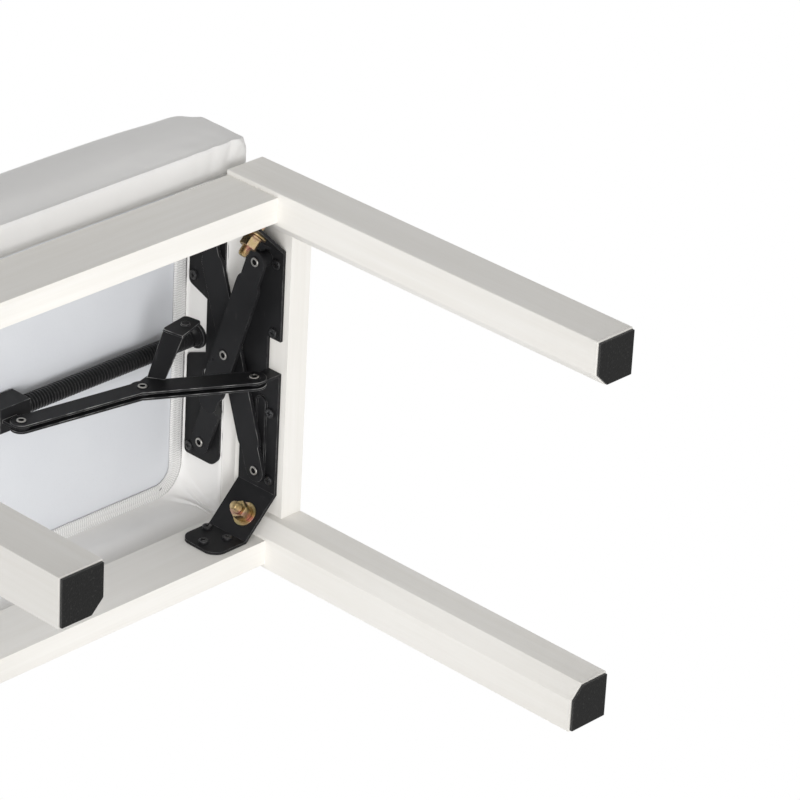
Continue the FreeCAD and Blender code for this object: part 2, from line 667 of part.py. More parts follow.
def horn(end):
    # A lobe of the plate, a web that rises from it, and a flange with a stud on top.
    link_axes = Placement(point(ear_x, upper_y, ear_z), link_turn(knee_lean))
    lobe_start = "horn_along - link_plate"
    lobe = polygon_body("horn_lobe_" + end, "XY_Plane",
                        [(lobe_start, "link_half_width / 2"), (lobe_start, "link_half_width"), foot_near,
                         foot_far, ("knee_length", "link_half_width"),
                         ("knee_length", "link_half_width / 2")], "link_plate")
    lobe.Placement = link_axes
    web = doc.addObject("Part::Feature", "horn_web_" + end)
    sections = [horn_section(foot_near, foot_far, "horn_foot_turn", "link_plate / 2"),
                horn_section(head_near, head_far, "horn_turn", "-horn_rise - link_plate / 2")]
    web.Shape = Part.makeLoft(sections, True, True)
    web.Placement = link_axes
    flange = polygon_body("horn_flange_" + end, "XY_Plane",
                          [beside(head_near, "horn_turn", "-2 * link_plate"),
                           beside(head_far, "horn_turn", "-2 * link_plate"),
                           beside(head_far, "horn_turn", "horn_flange"),
                           beside(head_near, "horn_turn", "horn_flange", "horn_taper")], "link_plate")
    flange.Placement = link_axes.multiply(Placement(point("0", "0", "-horn_rise - link_plate"), Rotation()))
    stud_spot = beside(head_near, "horn_turn", "horn_flange / 2", "horn_width / 2")
    stud_top = point(*stud_spot, "-horn_rise - link_plate - horn_stud_height")
    stud = set_rod("horn_stud_" + end, "horn_stud_radius", "horn_stud_height",
                   link_axes.multiply(Placement(stud_top, Rotation())))
    return [lobe, web, flange, stud]


for end, turned in ends.items():
    upper = fuse("link_upper_solid_" + end, link_plate("link_upper_" + end, upper_y) + horn(end))
    keep("link_upper_plate_" + end, cut("link_upper_plate_" + end, upper,
                                        link_holes("link_upper_" + end, upper_y)), turned)
    lower = fuse("link_lower_solid_" + end, link_plate("link_lower_" + end, lower_y))
    keep("link_lower_plate_" + end, cut("link_lower_plate_" + end, lower,
                                        link_holes("link_lower_" + end, lower_y)), turned)
    across = Vector(0, 1, 0)
    gather("link_rivets_" + end, [(link_rivet, facing(point(x, upper_y, z), across))
                                  for x, z in ((ear_x, ear_z), (knee_x, knee_z), (nut_x, nut_pin_z))], turned)
    gather("link_spacers_" + end,
           [(knee_spacer, facing(point(knee_x, f"bush_end_gap - {lower_y}", knee_z), across))], turned)
    block = box("nut_block_" + end, ("nut_length", "2 * nut_half", "2 * nut_half"),
                (f"{nut_x} - nut_inner_end", "-nut_half", f"{spindle_z} - nut_half"))
    lug_thickness = "plate"
    lug = box("nut_lug_" + end, ("2 * lug_half_width", lug_thickness, f"{spindle_z} - {nut_pin_z}"),
              (f"{nut_x} - lug_half_width", f"-{lug_thickness} / 2", nut_pin_z))
    lug_end = rod("nut_lug_end_" + end, "lug_half_width", lug_thickness,
                  (nut_x, f"-{lug_thickness} / 2", nut_pin_z), "y")
    bore = rod("nut_bore_" + end, "spindle_radius + thread_clearance", "nut_length",
               (f"{nut_x} - nut_inner_end", "0", spindle_z), "x")
    pin_hole = rod("nut_pin_hole_" + end, "pin_radius + pin_clearance", lug_thickness,
                   (nut_x, f"-{lug_thickness} / 2", nut_pin_z), "y")
    keep("spindle_nut_" + end, cut("spindle_nut_" + end, fuse("nut_solid_" + end, [block, lug, lug_end]),
                                   [bore, pin_hole]), turned)

# Spindle with its bushes, collars and knobs
bush_outer_end = f"({seat_half} + bush_flange)"
knob_start = f"({bush_outer_end} + collar_gap)"
knob_end = f"({knob_start} + knob_hub_length + knob_length)"
spindle_half = f"({knob_start} + knob_hub_length + knob_length / 2)"
keep("spindle", rod("spindle", "spindle_radius", f"2 * {spindle_half}",
                    (f"-{spindle_half}", "0", spindle_z), "x"))
for end, turned in ends.items():
    sleeve = rod("bush_sleeve_" + end, "bush_radius", f"{seat_half} - {seat_end_inner}",
                 (seat_end_inner, "0", spindle_z), "x")
    flange = rod("bush_flange_disc_" + end, "bush_flange_radius", "bush_flange",
                 (seat_half, "0", spindle_z), "x")
    bore = rod("bush_bore_" + end, "spindle_radius + pin_clearance", f"{bush_outer_end} - {seat_end_inner}",
               (seat_end_inner, "0", spindle_z), "x")
    solid = fuse("bush_solid_" + end, [sleeve, flange])
    keep("spindle_bush_" + end, cut("spindle_bush_" + end, solid, [bore]), turned)
    disc = rod("collar_disc_" + end, "collar_radius", "collar_length",
               (f"{seat_end_inner} - collar_gap - collar_length", "0", spindle_z), "x")
    bore = rod("collar_bore_" + end, "spindle_radius", "collar_length",
               (f"{seat_end_inner} - collar_gap - collar_length", "0", spindle_z), "x")
    keep("spindle_collar_" + end, cut("spindle_collar_" + end, disc, [bore]), turned)
    hub = rod("knob_hub_" + end, "knob_hub_radius", "knob_hub_length", (knob_start, "0", spindle_z), "x")
    grip = rod("knob_grip_" + end, "knob_radius", "knob_length",
               (f"{knob_start} + knob_hub_length", "0", spindle_z), "x")
    bore = rod("knob_bore_" + end, "spindle_radius", f"{spindle_half} - {knob_start}",
               (knob_start, "0", spindle_z), "x")
    scallops = []
    for index in range(int(number("knob_scallops"))):
        angle = f"(360 / knob_scallops * {index})"
        reach = "(knob_radius + knob_scallop_out)"
        scallops.append(rod("knob_scallop_%s_%d" % (end, index), "knob_scallop_radius", "knob_length",
                            (f"{knob_start} + knob_hub_length", f"{reach} * cos({angle})",
                             f"{spindle_z} + {reach} * sin({angle})"), "x"))
    keep("knob_" + end, cut("knob_" + end, fuse("knob_solid_" + end, [hub, grip]), [bore] + scallops), turned)

# Seat frame, its corners cut to lie inside the cover's rounded ones
corner_cut = "(seat_corner - cover)"
cut_side = f"({seat_side_outer} - {corner_cut})"
cut_end = f"({seat_end_outer} - {corner_cut})"
outer_edge = [(seat_end_outer, cut_side), (cut_end, seat_side_outer),
              (f"-{cut_end}", seat_side_outer), (f"-{seat_end_outer}", cut_side)]
for name, sign in (("front", "-"), ("back", "")):
    outline = [(f"-{seat_end_outer}", seat_side_inner), (seat_end_outer, seat_side_inner)] + outer_edge
    rail = polygon_body("seat_side_rail_" + name, "XY_Plane", [(x, sign + y) for x, y in outline],
                        "seat_rail_height")
    place(rail, ("0", "0", seat_rail_bottom))
    keep("seat_side_rail_" + name, rail)
seat_screw_far = f"({half_span} + seat_screw_margin)"
seat_screw_z = f"({seat_pivot_z} + seat_screw_rise)"
seat_screw_spots = [facing(point(seat_plate_front, y, seat_screw_z), Vector(-1, 0, 0))
                    for y in (f"-{seat_screw_far}", "-seat_screw_near", seat_screw_far)]
plate_low = f"({seat_pivot_z} - seat_plate_below)"
plate_high = f"({seat_pivot_z} + seat_plate_above)"
notch_floor = f"({spindle_z} - seat_notch_depth)"
plate_end = f"({half_span} + seat_plate_margin)"
seat_plate_outline = [
    (f"-{plate_end} + seat_plate_corner", plate_low), (f"{plate_end} - seat_plate_corner", plate_low),
    (plate_end, f"{plate_low} + seat_plate_corner"), (plate_end, plate_high),
    ("seat_notch_back + seat_notch_slope", plate_high), ("seat_notch_back", notch_floor),
    ("-seat_notch_front", notch_floor), ("-seat_notch_front - seat_notch_slope", plate_high),
    (f"-{plate_end}", plate_high), (f"-{plate_end}", f"{plate_low} + seat_plate_corner")]
for end, turned in ends.items():
    blank = box("seat_end_rail_blank_" + end, ("seat_end_rail", f"2 * {seat_side_inner}", "seat_rail_height"),
                (seat_end_inner, f"-{seat_side_inner}", seat_rail_bottom))
    bush_hole = rod("seat_end_rail_hole_" + end, "bush_radius", "seat_end_rail",
                    (seat_end_inner, "0", spindle_z), "x")
    holes = screw_holes("seat_rail_screw_hole_" + end, seat_screw_spots)
    keep("seat_end_rail_" + end, cut("seat_end_rail_" + end, blank, [bush_hole] + holes), turned)
    blank = polygon_body("seat_plate_blank_" + end, "YZ_Plane", seat_plate_outline, "plate")
    place(blank, (seat_plate_front, "0", "0"))
    pivot_hole = rod("seat_plate_pivot_hole_" + end, "pin_radius + pin_clearance", "plate",
                     (seat_plate_front, front_pivot, seat_pivot_z), "x")
    groove = slot_tool("seat_plate_groove_" + end, groove_half, "slot_depth", seat_plate_front, seat_pivot_z)
    holes = screw_holes("seat_plate_screw_hole_" + end, seat_screw_spots)
    keep("seat_plate_" + end, cut("seat_plate_" + end, blank, [pivot_hole, groove] + holes), turned)
scatter("seat_plate_screws", screw, both_ends(seat_screw_spots))
far_edge = [(x, "-" + y) for x, y in reversed(outer_edge)]
panel = polygon_body("seat_panel_board", "XY_Plane", outer_edge + far_edge, "seat_panel")
place(panel, ("0", "0", panel_bottom))
keep("seat_panel", panel)


# Soft pieces of the seat, lofted through round-cornered outlines from the underside to the crown.
def rounded_outline(half_x, half_y, radius, z):
    edges = []
    slant = radius * (1 - math.sqrt(0.5))
    for turn in range(4):
        across, along = (half_x, half_y) if turn % 2 == 0 else (half_y, half_x)
        spots = [Vector(across, -along + radius, z), Vector(across, along - radius, z),
                 Vector(across - slant, along - slant, z), Vector(across - radius, along, z)]
        rotation = Rotation(axes["z"], 90 * turn)
        start, end, middle, finish = [rotation.multVec(spot) for spot in spots]
        edges += [Part.LineSegment(start, end).toShape(), Part.Arc(end, middle, finish).toShape()]
    return Part.Wire(edges)


def crowned_form(inset, low, waist):
    # Each level is a height over the seat's underside and how far the outline is drawn in there.
    side = number("seat_side_height")
    edge = number("seat_edge_round")
    levels = [(number("seat_bottom_round"), 0), (side / 2, waist), (side, 0)]
    for angle in (30, 60):
        levels.append((side + edge * math.sin(math.radians(angle)), edge * (1 - math.cos(math.radians(angle)))))
    for share in (0, 1 / 3, 2 / 3, 1):
        levels.append((side + edge + number("seat_crown") * (1 - (1 - share) ** 2),
                       edge + (number("seat_crown_reach") - edge) * share))
    if low <= 0:
        levels.insert(0, (0, number("seat_bottom_round")))
    else:
        levels = [(low, 0)] + [level for level in levels if level[0] > low]
    bottom = number(seat_bottom)
    wires = []
    for height, drawn in levels:
        drop = inset if height > side else 0
        half_x = number(seat_half) - inset - drawn
        half_y = number("seat_depth / 2") - inset - drawn
        wires.append(rounded_outline(half_x, half_y, number("seat_corner") - inset, bottom + height - drop))
    return Part.makeLoft(wires, True, True)


def soft(label, shape):
    item = doc.addObject("Part::Feature", label)
    item.Shape = shape
    return keep(label, item)


def plain_box(low, high):
    return Part.makeBox(high.x - low.x, high.y - low.y, high.z - low.z, low)


skin = crowned_form(0, 0, number("seat_waist"))
hollow = crowned_form(number("cover"), number("cover"), 0)
mouth_low = point(f"-{seat_end_inner}", f"-{seat_side_inner}", f"{seat_bottom} - cover")
mouth_high = point(seat_end_inner, seat_side_inner, f"{seat_rail_bottom} + cover")
sleeves = [Part.makeCylinder(number("bush_radius"), number("4 * cover"),
                             point(f"{side} * {seat_half} - 2 * cover", "0", spindle_z), axes["x"])
           for side in (-1, 1)]
soft("seat_cover", skin.cut([hollow, plain_box(mouth_low, mouth_high)] + sleeves))
foam_low = number("cover + seat_rail_height + seat_panel")
soft("seat_foam", crowned_form(number("cover + foam_gap"), foam_low, 0))

# Lining under the seat panel, edged with a woven tape.
keep("seat_lining", box("seat_lining", (f"2 * {tape_x}", f"2 * {tape_y}", "lining"),
                        (f"-{tape_x}", f"-{tape_y}", f"{panel_bottom} - lining")))
tape_z = number(f"{panel_bottom} - lining - tape_thickness")
tape_outer = rounded_outline(number(tape_x), number(tape_y), number("tape_corner"), tape_z)
tape_inner = rounded_outline(number(tape_x) - number("tape_width"), number(tape_y) - number("tape_width"),
                             number("tape_corner") - number("tape_width"), tape_z)
tape_band, tape_window = [Part.Face(wire).extrude(Vector(0, 0, number("tape_thickness")))
                          for wire in (tape_outer, tape_inner)]
soft("seat_tape", tape_band.cut(tape_window))

# Nothing is written unless every object and every sub-part came out sound.
doc.recompute()
for item in doc.Objects:
    if "Invalid" in item.State or "Error" in item.State:
        raise RuntimeError("failed object: " + item.Name)
for label, item in nodes.items():
    if item.Shape.isNull() or not item.Shape.isValid() or not item.Shape.Solids:
        raise RuntimeError("bad shape: " + label)
os.makedirs("parts", exist_ok=True)
for label, item in nodes.items():
    item.Shape.exportStep("parts/%s.step" % label)
print("sub-parts", len(nodes))
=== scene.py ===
import json
import math
import bmesh
import bpy
from mathutils import Matrix, Vector, noise

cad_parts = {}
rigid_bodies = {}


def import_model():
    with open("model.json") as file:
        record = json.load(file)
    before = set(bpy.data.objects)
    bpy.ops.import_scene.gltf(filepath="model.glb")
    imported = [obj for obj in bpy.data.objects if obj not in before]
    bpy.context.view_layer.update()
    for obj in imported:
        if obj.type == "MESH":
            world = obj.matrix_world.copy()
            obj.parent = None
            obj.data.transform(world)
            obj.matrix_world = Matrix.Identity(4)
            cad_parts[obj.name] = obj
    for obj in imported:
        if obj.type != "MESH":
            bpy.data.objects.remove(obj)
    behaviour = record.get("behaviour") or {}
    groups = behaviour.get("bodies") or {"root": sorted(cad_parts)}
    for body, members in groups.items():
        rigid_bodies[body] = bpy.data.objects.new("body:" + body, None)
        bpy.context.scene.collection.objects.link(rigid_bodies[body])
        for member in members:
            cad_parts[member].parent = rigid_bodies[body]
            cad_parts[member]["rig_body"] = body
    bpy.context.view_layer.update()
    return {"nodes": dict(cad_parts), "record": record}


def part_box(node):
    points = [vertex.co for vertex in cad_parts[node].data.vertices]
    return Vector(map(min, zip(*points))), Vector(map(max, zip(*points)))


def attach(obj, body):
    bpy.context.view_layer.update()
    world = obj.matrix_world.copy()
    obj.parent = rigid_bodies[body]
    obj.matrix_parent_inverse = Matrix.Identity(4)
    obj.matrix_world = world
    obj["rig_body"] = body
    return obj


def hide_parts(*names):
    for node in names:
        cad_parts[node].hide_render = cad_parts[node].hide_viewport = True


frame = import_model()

scene = bpy.context.scene
scene.view_settings.view_transform = "Standard"
slotOf = {row["node"]: row["material_slot"] for row in frame["record"]["subparts"]}
print("frame loaded,", len(frame["nodes"]), "nodes")


# shader tools: a socket that can be calculated with, and a material that makes nodes
class Wire:
    def __init__(self, paint, socket):
        self.paint = paint
        self.socket = socket

    def maths(self, operation, first, second):
        return self.paint.node("ShaderNodeMath", {"operation": operation}, {0: first, 1: second})

    def __add__(self, other):
        return self.maths("ADD", self, other)

    def __radd__(self, other):
        return self.maths("ADD", other, self)

    def __sub__(self, other):
        return self.maths("SUBTRACT", self, other)

    def __rsub__(self, other):
        return self.maths("SUBTRACT", other, self)

    def __mul__(self, other):
        return self.maths("MULTIPLY", self, other)

    def __rmul__(self, other):
        return self.maths("MULTIPLY", other, self)

    def sine(self):
        return self.paint.node("ShaderNodeMath", {"operation": "SINE"}, {0: self})

    def clipped(self, low, high):
        return self.paint.node("ShaderNodeMapRange", {"clamp": True}, {0: self, 1: low, 2: high})


class Paint:
    def __init__(self, name):
        self.material = bpy.data.materials.new(name)
        self.material.use_nodes = True
        self.tree = self.material.node_tree
        self.shader = self.tree.nodes["Principled BSDF"]

    def node(self, kind, settings=None, sockets=None, result=0):
        made = self.tree.nodes.new(kind)
        for key, value in (settings or {}).items():
            if key == "stops":
                self.setStops(made.color_ramp, value)
            else:
                setattr(made, key, value)
        self.plug(made, sockets or {})
        return Wire(self, made.outputs[result])

    def setStops(self, ramp, stops):
        while len(ramp.elements) < len(stops):
            ramp.elements.new(1.0)
        for element, (position, colour) in zip(ramp.elements, stops):
            element.position = position
            element.color = (*colour, 1.0)

    def plug(self, made, sockets):
        for key, value in sockets.items():
            if isinstance(value, Wire):
                self.tree.links.new(value.socket, made.inputs[key])
            else:
                made.inputs[key].default_value = value

    def place(self, stretch=(1, 1, 1)):
        where = self.node("ShaderNodeTexCoord", result="Object")
        return self.node("ShaderNodeMapping", sockets={"Vector": where, "Scale": stretch})

    def cloud(self, scale, detail=2.0, stretch=(1, 1, 1)):
        return self.node("ShaderNodeTexNoise", sockets={"Vector": self.place(stretch), "Scale": scale,
                                                        "Detail": detail})

    def cells(self, scale, stretch=(1, 1, 1)):
        return self.node("ShaderNodeTexVoronoi", {"feature": "F1"},
                         {"Vector": self.place(stretch), "Scale": scale})

    def bands(self, direction, scale):
        return self.node("ShaderNodeTexWave", {"bands_direction": direction},
                         {"Vector": self.place(), "Scale": scale}, "Fac")

    def ramp(self, value, stops):
        return self.node("ShaderNodeValToRGB", {"stops": stops}, {"Fac": value})

    def blend(self, factor, first, second):
        first, second = [(*c, 1.0) if isinstance(c, tuple) else c for c in (first, second)]
        return self.node("ShaderNodeMix", {"data_type": "RGBA"}, {0: factor, 6: first, 7: second}, 2)

    def bump(self, height, strength, depth):
        return self.node("ShaderNodeBump", sockets={"Height": height, "Strength": strength,
                                                    "Distance": depth})

    def done(self, sockets):
        self.plug(self.shader, sockets)
        return self.material


woodPaint = {"light": (0.88, 0.862, 0.825), "deep": (0.825, 0.802, 0.755), "acrossGrain": 150, "pores": 620,
             "patches": 9.0, "alongGrain": 0.035, "roughness": 0.4, "relief": 0.00025}


def paintedWood(name, axis):
    paint = Paint(name)
    stretch = tuple(woodPaint["alongGrain"] if index == axis else 1.0 for index in range(3))
    streaks = paint.cloud(woodPaint["acrossGrain"], 4.0, stretch)
    pores = paint.cloud(woodPaint["pores"], 2.0, stretch)
    patches = paint.cloud(woodPaint["patches"], 2.0)
    tone = (streaks * 0.6 + pores * 0.25 + patches * 0.35).clipped(0.42, 0.82)
    colour = paint.blend(tone, woodPaint["light"], woodPaint["deep"])
    rough = pores * 0.14 + woodPaint["roughness"]
    relief = paint.bump(streaks * 0.5 + pores * 0.5, 0.22, woodPaint["relief"])
    return paint.done({"Base Color": colour, "Roughness": rough, "Normal": relief})


steelCoat = {"dark": (0.011, 0.011, 0.012), "light": (0.02, 0.02, 0.021), "scuffed": (0.05, 0.05, 0.052),
             "roughness": 0.33, "peel": 1500, "patches": 28.0, "scuffs": 260}


def blackSteel(name, gloss=0.13, polish=0.0):
    paint = Paint(name)
    peel = paint.cloud(steelCoat["peel"], 2.0)
    patches = paint.cloud(steelCoat["patches"], 3.0)
    scuffs = paint.cloud(steelCoat["scuffs"], 4.0, (1.0, 0.12, 0.6)).clipped(0.66, 0.74)
    colour = paint.blend(patches, steelCoat["dark"], steelCoat["light"])
    colour = paint.blend(scuffs * 0.35, colour, steelCoat["scuffed"])
    rough = patches * 0.16 + peel * 0.06 + (steelCoat["roughness"] - polish)
    return paint.done({"Base Color": colour, "Roughness": rough, "Specular IOR Level": gloss,
                       "Normal": paint.bump(peel, 0.1, 0.0001)})


# eased steel edges: worn patches of bare metal, and a coat lighter than the black steel as a painted
# highlight along every edge
edgeWearAndHighlight = {"coat": (0.04, 0.04, 0.042), "metal": (0.42, 0.42, 0.41), "patches": 90, "roughness": 0.42}


def wornEdge(name):
    paint = Paint(name)
    wear = paint.cloud(edgeWearAndHighlight["patches"], 4.0).clipped(0.45, 0.7)
    # the lighter coat and the metal patches paint a highlight along the edges as well as wear
    colour = paint.blend(wear, edgeWearAndHighlight["coat"], edgeWearAndHighlight["metal"])
    rough = edgeWearAndHighlight["roughness"] - wear * 0.14
    return paint.done({"Base Color": colour, "Roughness": rough, "Metallic": wear * 0.8})


# from olive over gold and straw to rose and brown
zincPlate = {"tints": [(0.3, (0.34, 0.35, 0.19)), (0.43, (0.6, 0.44, 0.21)), (0.53, (0.72, 0.55, 0.31)),
                       (0.62, (0.6, 0.32, 0.29)), (0.74, (0.38, 0.27, 0.15))],
             "clouds": 75.0, "scratches": 900, "roughness": 0.2}


def yellowZinc(name):
    paint = Paint(name)
    tint = paint.cloud(zincPlate["clouds"], 3.0, (1.0, 1.3, 0.8))
    colour = paint.ramp(tint, zincPlate["tints"])
    scratches = paint.cloud(zincPlate["scratches"], 2.0, (1.0, 0.2, 1.0))
    rough = scratches * 0.2 + zincPlate["roughness"]
    return paint.done({"Base Color": colour, "Metallic": 1.0, "Roughness": rough,
                       "Normal": paint.bump(scratches, 0.06, 0.0001)})


rivetCrest = {"dull": (0.36, 0.35, 0.33), "bright": (0.62, 0.6, 0.56), "wear": 500, "roughness": 0.25}


def bareSteel(name):
    paint = Paint(name)
    wear = paint.cloud(rivetCrest["wear"], 3.0)
    colour = paint.blend(wear, rivetCrest["dull"], rivetCrest["bright"])
    rough = wear * 0.25 + rivetCrest["roughness"]
    return paint.done({"Base Color": colour, "Metallic": 1.0, "Roughness": rough,
                       "Normal": paint.bump(wear, 0.1, 0.0001)})


footFelt = {"dark": (0.012, 0.012, 0.012), "light": (0.045, 0.045, 0.044), "fleck": (0.1, 0.1, 0.095),
            "fibres": 1100, "flecks": 520, "roughness": 0.88, "relief": 0.0006}


def blackFelt(name):
    paint = Paint(name)
    fibres = paint.cloud(footFelt["fibres"], 5.0, (1.0, 0.45, 1.0))
    flecks = paint.cloud(footFelt["flecks"], 1.0).clipped(0.62, 0.72)
    colour = paint.blend(fibres, footFelt["dark"], footFelt["light"])
    colour = paint.blend(flecks * 0.5, colour, footFelt["fleck"])
    return paint.done({"Base Color": colour, "Roughness": fibres * 0.1 + footFelt["roughness"],
                       "Sheen Weight": 0.25, "Normal": paint.bump(fibres, 0.6, footFelt["relief"])})


moulded = {"dark": (0.012, 0.012, 0.013), "light": (0.02, 0.02, 0.021), "grain": 1300, "patches": 40.0}


def blackPlastic(name, roughness):
    paint = Paint(name)
    grain = paint.cells(moulded["grain"])
    patches = paint.cloud(moulded["patches"], 2.0)
    colour = paint.blend(patches, moulded["dark"], moulded["light"])
    return paint.done({"Base Color": colour, "Roughness": patches * 0.12 + roughness,
                       "Normal": paint.bump(grain, 0.08, 0.0001)})


leather = {"light": (0.86, 0.85, 0.835), "deep": (0.81, 0.8, 0.785), "grain": 760, "pebbles": 1400,
           "patches": 14.0, "roughness": 0.42, "relief": 0.0003}


def whiteLeather(name):
    paint = Paint(name)
    grain = paint.cells(leather["grain"])
    pebbles = paint.cloud(leather["pebbles"], 2.0)
    patches = paint.cloud(leather["patches"], 3.0)
    colour = paint.blend(patches.clipped(0.35, 0.7), leather["light"], leather["deep"])
    relief = paint.bump(grain * 0.6 + pebbles * 0.4, 0.16, leather["relief"])
    rough = pebbles * 0.12 + leather["roughness"]
    return paint.done({"Base Color": colour, "Roughness": rough, "Normal": relief})


liningWeave = {"deep": (0.66, 0.675, 0.71), "light": (0.71, 0.725, 0.75), "slub": (0.59, 0.605, 0.64),
               "bands": 260.0, "patches": 18.0, "threads": 700, "roughness": 0.72, "relief": 0.0003}


def thinCloth(name):
    paint = Paint(name)
    warp, weft = [paint.bands(letter, liningWeave["bands"]) for letter in "XY"]
    patches = paint.cloud(liningWeave["patches"], 3.0)
    threads = paint.cloud(liningWeave["threads"], 2.0)
    colour = paint.blend(patches, liningWeave["deep"], liningWeave["light"])
    colour = paint.blend(threads.clipped(0.6, 0.75) * 0.25, colour, liningWeave["slub"])
    relief = paint.bump(warp * 0.5 + weft * 0.5 + threads, 0.2, liningWeave["relief"])
    return paint.done({"Base Color": colour, "Roughness": threads * 0.15 + liningWeave["roughness"],
                       "Sheen Weight": 0.15, "Normal": relief})


# deep is a painted shade for the troughs between the ribs, light is for the rib tops
tapeWeave = {"deep": (0.66, 0.655, 0.645), "light": (0.84, 0.835, 0.825), "ribPitch": 0.0021,
             "rowPitch": 0.0044, "slant": 0.9, "fuzz": 1500, "roughness": 0.8, "relief": 0.0006}


def wovenTape(name):
    # ribs run across the tape, slanted to and fro in rows
    paint = Paint(name)
    along = paint.node("ShaderNodeSeparateXYZ", sockets={0: paint.node("ShaderNodeTexCoord", result="UV")})
    across = Wire(paint, along.socket.node.outputs[1])
    rows = (across * (2 * math.pi / tapeWeave["rowPitch"])).sine()
    ribs = (along * (2 * math.pi / tapeWeave["ribPitch"]) + rows * tapeWeave["slant"]).sine()
    fuzz = paint.cloud(tapeWeave["fuzz"], 3.0)
    height = ribs * 0.4 + rows * 0.15 + fuzz * 0.3
    # the colour follows the rib height, so the troughs between the ribs are painted darker: a painted shade
    # in the weave's grooves
    colour = paint.blend((ribs * 0.5 + 0.5).clipped(0.0, 0.75), tapeWeave["deep"], tapeWeave["light"])
    rough = fuzz * 0.1 + tapeWeave["roughness"]
    relief = paint.bump(height, 0.7, tapeWeave["relief"])
    return paint.done({"Base Color": colour, "Roughness": rough, "Normal": relief})


seatBoard = {"deep": (0.62, 0.5, 0.36), "light": (0.74, 0.64, 0.5), "acrossGrain": 120, "alongGrain": 0.05,
             "roughness": 0.55, "relief": 0.0003}


def bareBoard(name, axis):
    paint = Paint(name)
    stretch = tuple(seatBoard["alongGrain"] if index == axis else 1.0 for index in range(3))
    grain = paint.cloud(seatBoard["acrossGrain"], 5.0, stretch)
    colour = paint.blend(grain.clipped(0.3, 0.7), seatBoard["deep"], seatBoard["light"])
    rough = grain * 0.2 + seatBoard["roughness"]
    relief = paint.bump(grain, 0.3, seatBoard["relief"])
    return paint.done({"Base Color": colour, "Roughness": rough, "Normal": relief})


finish = {"wood": [paintedWood("frameWood" + letter, axis) for axis, letter in enumerate("XYZ")],
          "board": [bareBoard("seatBoard" + letter, axis) for axis, letter in enumerate("XYZ")],
          "steel": blackSteel("blackSteel"), "steelEdge": wornEdge("wornEdge"),
          "oiled": blackSteel("oiledSteel", 0.65, 0.12), "zinc": yellowZinc("yellowZinc"),
          "bare": bareSteel("bareSteel"), "felt": blackFelt("blackFelt"),
          "bush": blackPlastic("bushPlastic", 0.5), "knob": blackPlastic("knobPlastic", 0.26),
          "leather": whiteLeather("whiteLeather"), "lining": thinCloth("liningCloth"),
          "tape": wovenTape("wovenTape")}
print("materials made:", len(bpy.data.materials))


# pieces
def addPiece(name, bm, body, materials, smoothAngle=40):
    mesh = bpy.data.meshes.new(name)
    bm.to_mesh(mesh)
    bm.free()
    for material in materials:
        mesh.materials.append(material)
    mesh.shade_smooth()
    mesh.set_sharp_from_angle(angle=math.radians(smoothAngle))
    piece = bpy.data.objects.new(name, mesh)
    scene.collection.objects.link(piece)
    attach(piece, body)
    return piece


def camel(node):
    words = node.split("_")
    return words[0] + "".join(word.capitalize() for word in words[1:])


def dressNode(node, bm, materials, smoothAngle=40):
    # a piece in the place of a CAD node, on the same body
    body = frame["nodes"][node]["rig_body"]
    piece = addPiece(camel(node), bm, body, materials, smoothAngle)
    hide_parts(node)
    return piece


merging = {"cad": 0.000005, "flatDegrees": 0.5, "profile": 0.0000005, "thread": 0.000002}


def mergedCopy(node):
    bm = bmesh.new()
    bm.from_mesh(frame["nodes"][node].data)
    bmesh.ops.remove_doubles(bm, verts=bm.verts, dist=merging["cad"])
    return bm


def cadCopy(node):
    bm = mergedCopy(node)
    flat = math.radians(merging["flatDegrees"])
    bmesh.ops.dissolve_limit(bm, angle_limit=flat, verts=bm.verts, edges=bm.edges)
    return bm


def roundEdges(bm, edges, width, segments):
    made = bmesh.ops.bevel(bm, geom=edges, offset=width, offset_type="OFFSET", affect="EDGES",
                           segments=segments, profile=0.5, material=-1, clamp_overlap=True)
    return made["faces"]


def uprights(bm, tall):
    return [edge for edge in bm.edges if abs(edge.verts[0].co.z - edge.verts[1].co.z) > tall / 2]


def longEdges(bm, least=0.1):
    return [edge for edge in bm.edges if edge.calc_length() > least]


def sharpEdges(bm, degrees=35):
    limit = math.radians(degrees)
    return [edge for edge in bm.edges if len(edge.link_faces) == 2 and edge.calc_face_angle() > limit]


plateCorner = {"nodes": ("base_bracket", "seat_plate_right", "seat_plate_left", "link_upper_plate"),
               "radius": 0.0035, "segments": 4, "degrees": 25, "thick": 0.0032, "reach": 0.008}


def plateCorners(bm):
    # the cut corners of the sheet metal, where both sides are long enough to be rounded
    corners = []
    for edge in sharpEdges(bm, plateCorner["degrees"]):
        sides = [side for vert in edge.verts for side in vert.link_edges if side != edge]
        roomy = all(side.calc_length() > plateCorner["reach"] for side in sides)
        if roomy and edge.is_convex and edge.calc_length() < plateCorner["thick"]:
            corners.append(edge)
    return corners


def easedPiece(node, materials, width, segments):
    # the CAD solid with its edges taken off; a second material is for the edges, with worn bare metal and a
    # coat painted lighter than the body as a painted highlight
    bm = cadCopy(node)
    if node.startswith(plateCorner["nodes"]):
        roundEdges(bm, plateCorners(bm), plateCorner["radius"], plateCorner["segments"])
    worn = roundEdges(bm, sharpEdges(bm), width, segments)
    for face in worn:
        face.material_index = len(materials) - 1
    piece = dressNode(node, bm, materials)
    piece.modifiers.new("evenShading", "WEIGHTED_NORMAL").keep_sharp = True


def longest(low, high):
    spans = high - low
    return max(range(3), key=lambda index: spans[index])


def islandsOf(node):
    # the lowest and highest corner of each loose solid in a node
    bm = mergedCopy(node)
    left = set(bm.verts)
    boxes = []
    while left:
        queue = [left.pop()]
        spots = []
        while queue:
            vert = queue.pop()
            spots.append(vert.co.copy())
            for edge in vert.link_edges:
                other = edge.other_vert(vert)
                if other in left:
                    left.remove(other)
                    queue.append(other)
        boxes.append([Vector(pick(values) for values in zip(*spots)) for pick in (min, max)])
    bm.free()
    return sorted(boxes, key=lambda box: tuple(round(value, 4) for value in box[0]))


